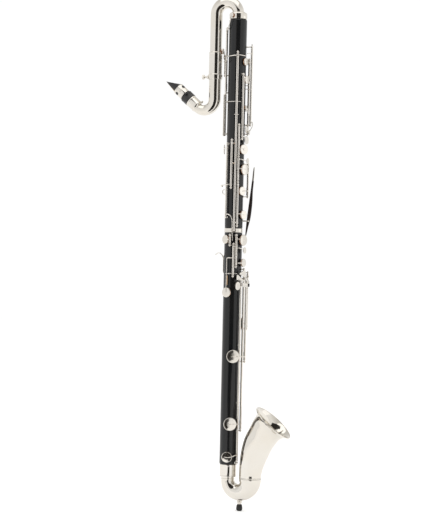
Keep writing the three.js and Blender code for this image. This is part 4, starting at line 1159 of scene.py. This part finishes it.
def hanging_cloth(name, distance, rows, material, columns=16):
    """A dark cloth curved around the front, which the polished tubes reflect. Each row is
    (height, azimuth of the left edge, azimuth of the right edge)."""
    points, faces = [], []
    for height, left, right in rows:
        for column in range(columns + 1):
            azimuth = left + (right - left) * column / columns
            points.append(around(azimuth, distance, height) - Vector((PIN_AHEAD * MM, 0, 0)))
    for row in range(len(rows) - 1):
        for column in range(columns):
            corner = row * (columns + 1) + column
            faces.append((corner, corner + 1, corner + columns + 2, corner + columns + 1))
    made = new_object(name, points, faces, material)
    made.visible_camera = False
    made.visible_diffuse = False
    made.visible_shadow = False


def area_light(name, place, target, power, size, size_y):
    light = bpy.data.lights.new(name, "AREA")
    light.energy = power
    light.shape = "RECTANGLE"
    light.size = size
    light.size_y = size_y
    made = bpy.data.objects.new(name, light)
    bpy.context.scene.collection.objects.link(made)
    turn = (Vector(target) - Vector(place)).to_track_quat("-Z", "Y").to_matrix().to_4x4()
    made.matrix_world = Matrix.Translation(place) @ turn


def make_sky(scene):
    """White around the horizon, so that the plating is bright, and a little greyer overhead."""
    world = bpy.data.worlds.new("studio")
    scene.world = world
    world.use_nodes = True
    tree = world.node_tree
    background = tree.nodes["Background"]
    background.inputs["Strength"].default_value = 1.02
    coords = tree.nodes.new("ShaderNodeTexCoord")
    parts = tree.nodes.new("ShaderNodeSeparateXYZ")
    tree.links.new(coords.outputs["Generated"], parts.inputs["Vector"])
    sky = ramp(tree, parts.outputs["Z"], [(0.30, (1.0, 1.0, 1.0)), (0.80, (0.70, 0.69, 0.67))])
    tree.links.new(sky, background.inputs["Color"])


def make_floor():
    half = 12.0
    corners = [(-half, -half, 0), (half, -half, 0), (half, half, 0), (-half, half, 0)]
    material, tree, shader = new_material("pale_floor", (0.93, 0.93, 0.93), 0.9)
    shader.inputs["Emission Color"].default_value = (1, 1, 1, 1)
    shader.inputs["Emission Strength"].default_value = 0.30
    mottle = noise(tree, 3.0, 2.0)
    colour = ramp(tree, mottle, [(0.3, (0.92, 0.92, 0.92)), (0.7, (0.94, 0.94, 0.94))])
    tree.links.new(colour, shader.inputs["Base Color"])
    floor = new_object("floor", corners, [(0, 1, 2, 3)], material)


def make_stage():
    scene = bpy.context.scene
    scene.view_settings.view_transform = "Standard"
    make_sky(scene)
    make_floor()
    black, _tree, _shader = new_material("black_cloth", (0.012, 0.010, 0.008), 1.0)
    hanging_cloth("dark_cloth", 0.55, [
        (0.005, 12, 38), (0.06, 10, 38), (0.075, 0, 30), (0.125, 0, 26), (0.16, 4, 28.8),
        (0.24, -12, 28.8), (0.31, -11, 30), (0.36, -10, 43), (0.7, -10, 44),
        (1.1, -7, 45), (1.6, -7, 48)], black)
    middle = Vector((0, 0, 0.7))
    area_light("overhead_softbox", Vector((0, -0.6, 3.4)), middle, 26, 3.2, 3.2)
    area_light("side_softbox", middle + outward(105) * 3.4, middle, 5, 2.0, 2.4)


def main():
    make_camera()
    make_stage()
    make_body()
    make_crown()
    make_lock_screw()
    make_mouthpiece(make_lower_neck())
    make_elbow()
    make_bell()
    make_end_pin()
    make_thumb_hook()
    make_strap_eye()
    make_back_guard()
    make_rods()
    for name, parts in KEYS.items():
        make_key(name, **parts)
    make_neck_register_key()
    make_little_lever()
    make_rod_guides()
    make_springs()
    make_corks_and_roller()


main()
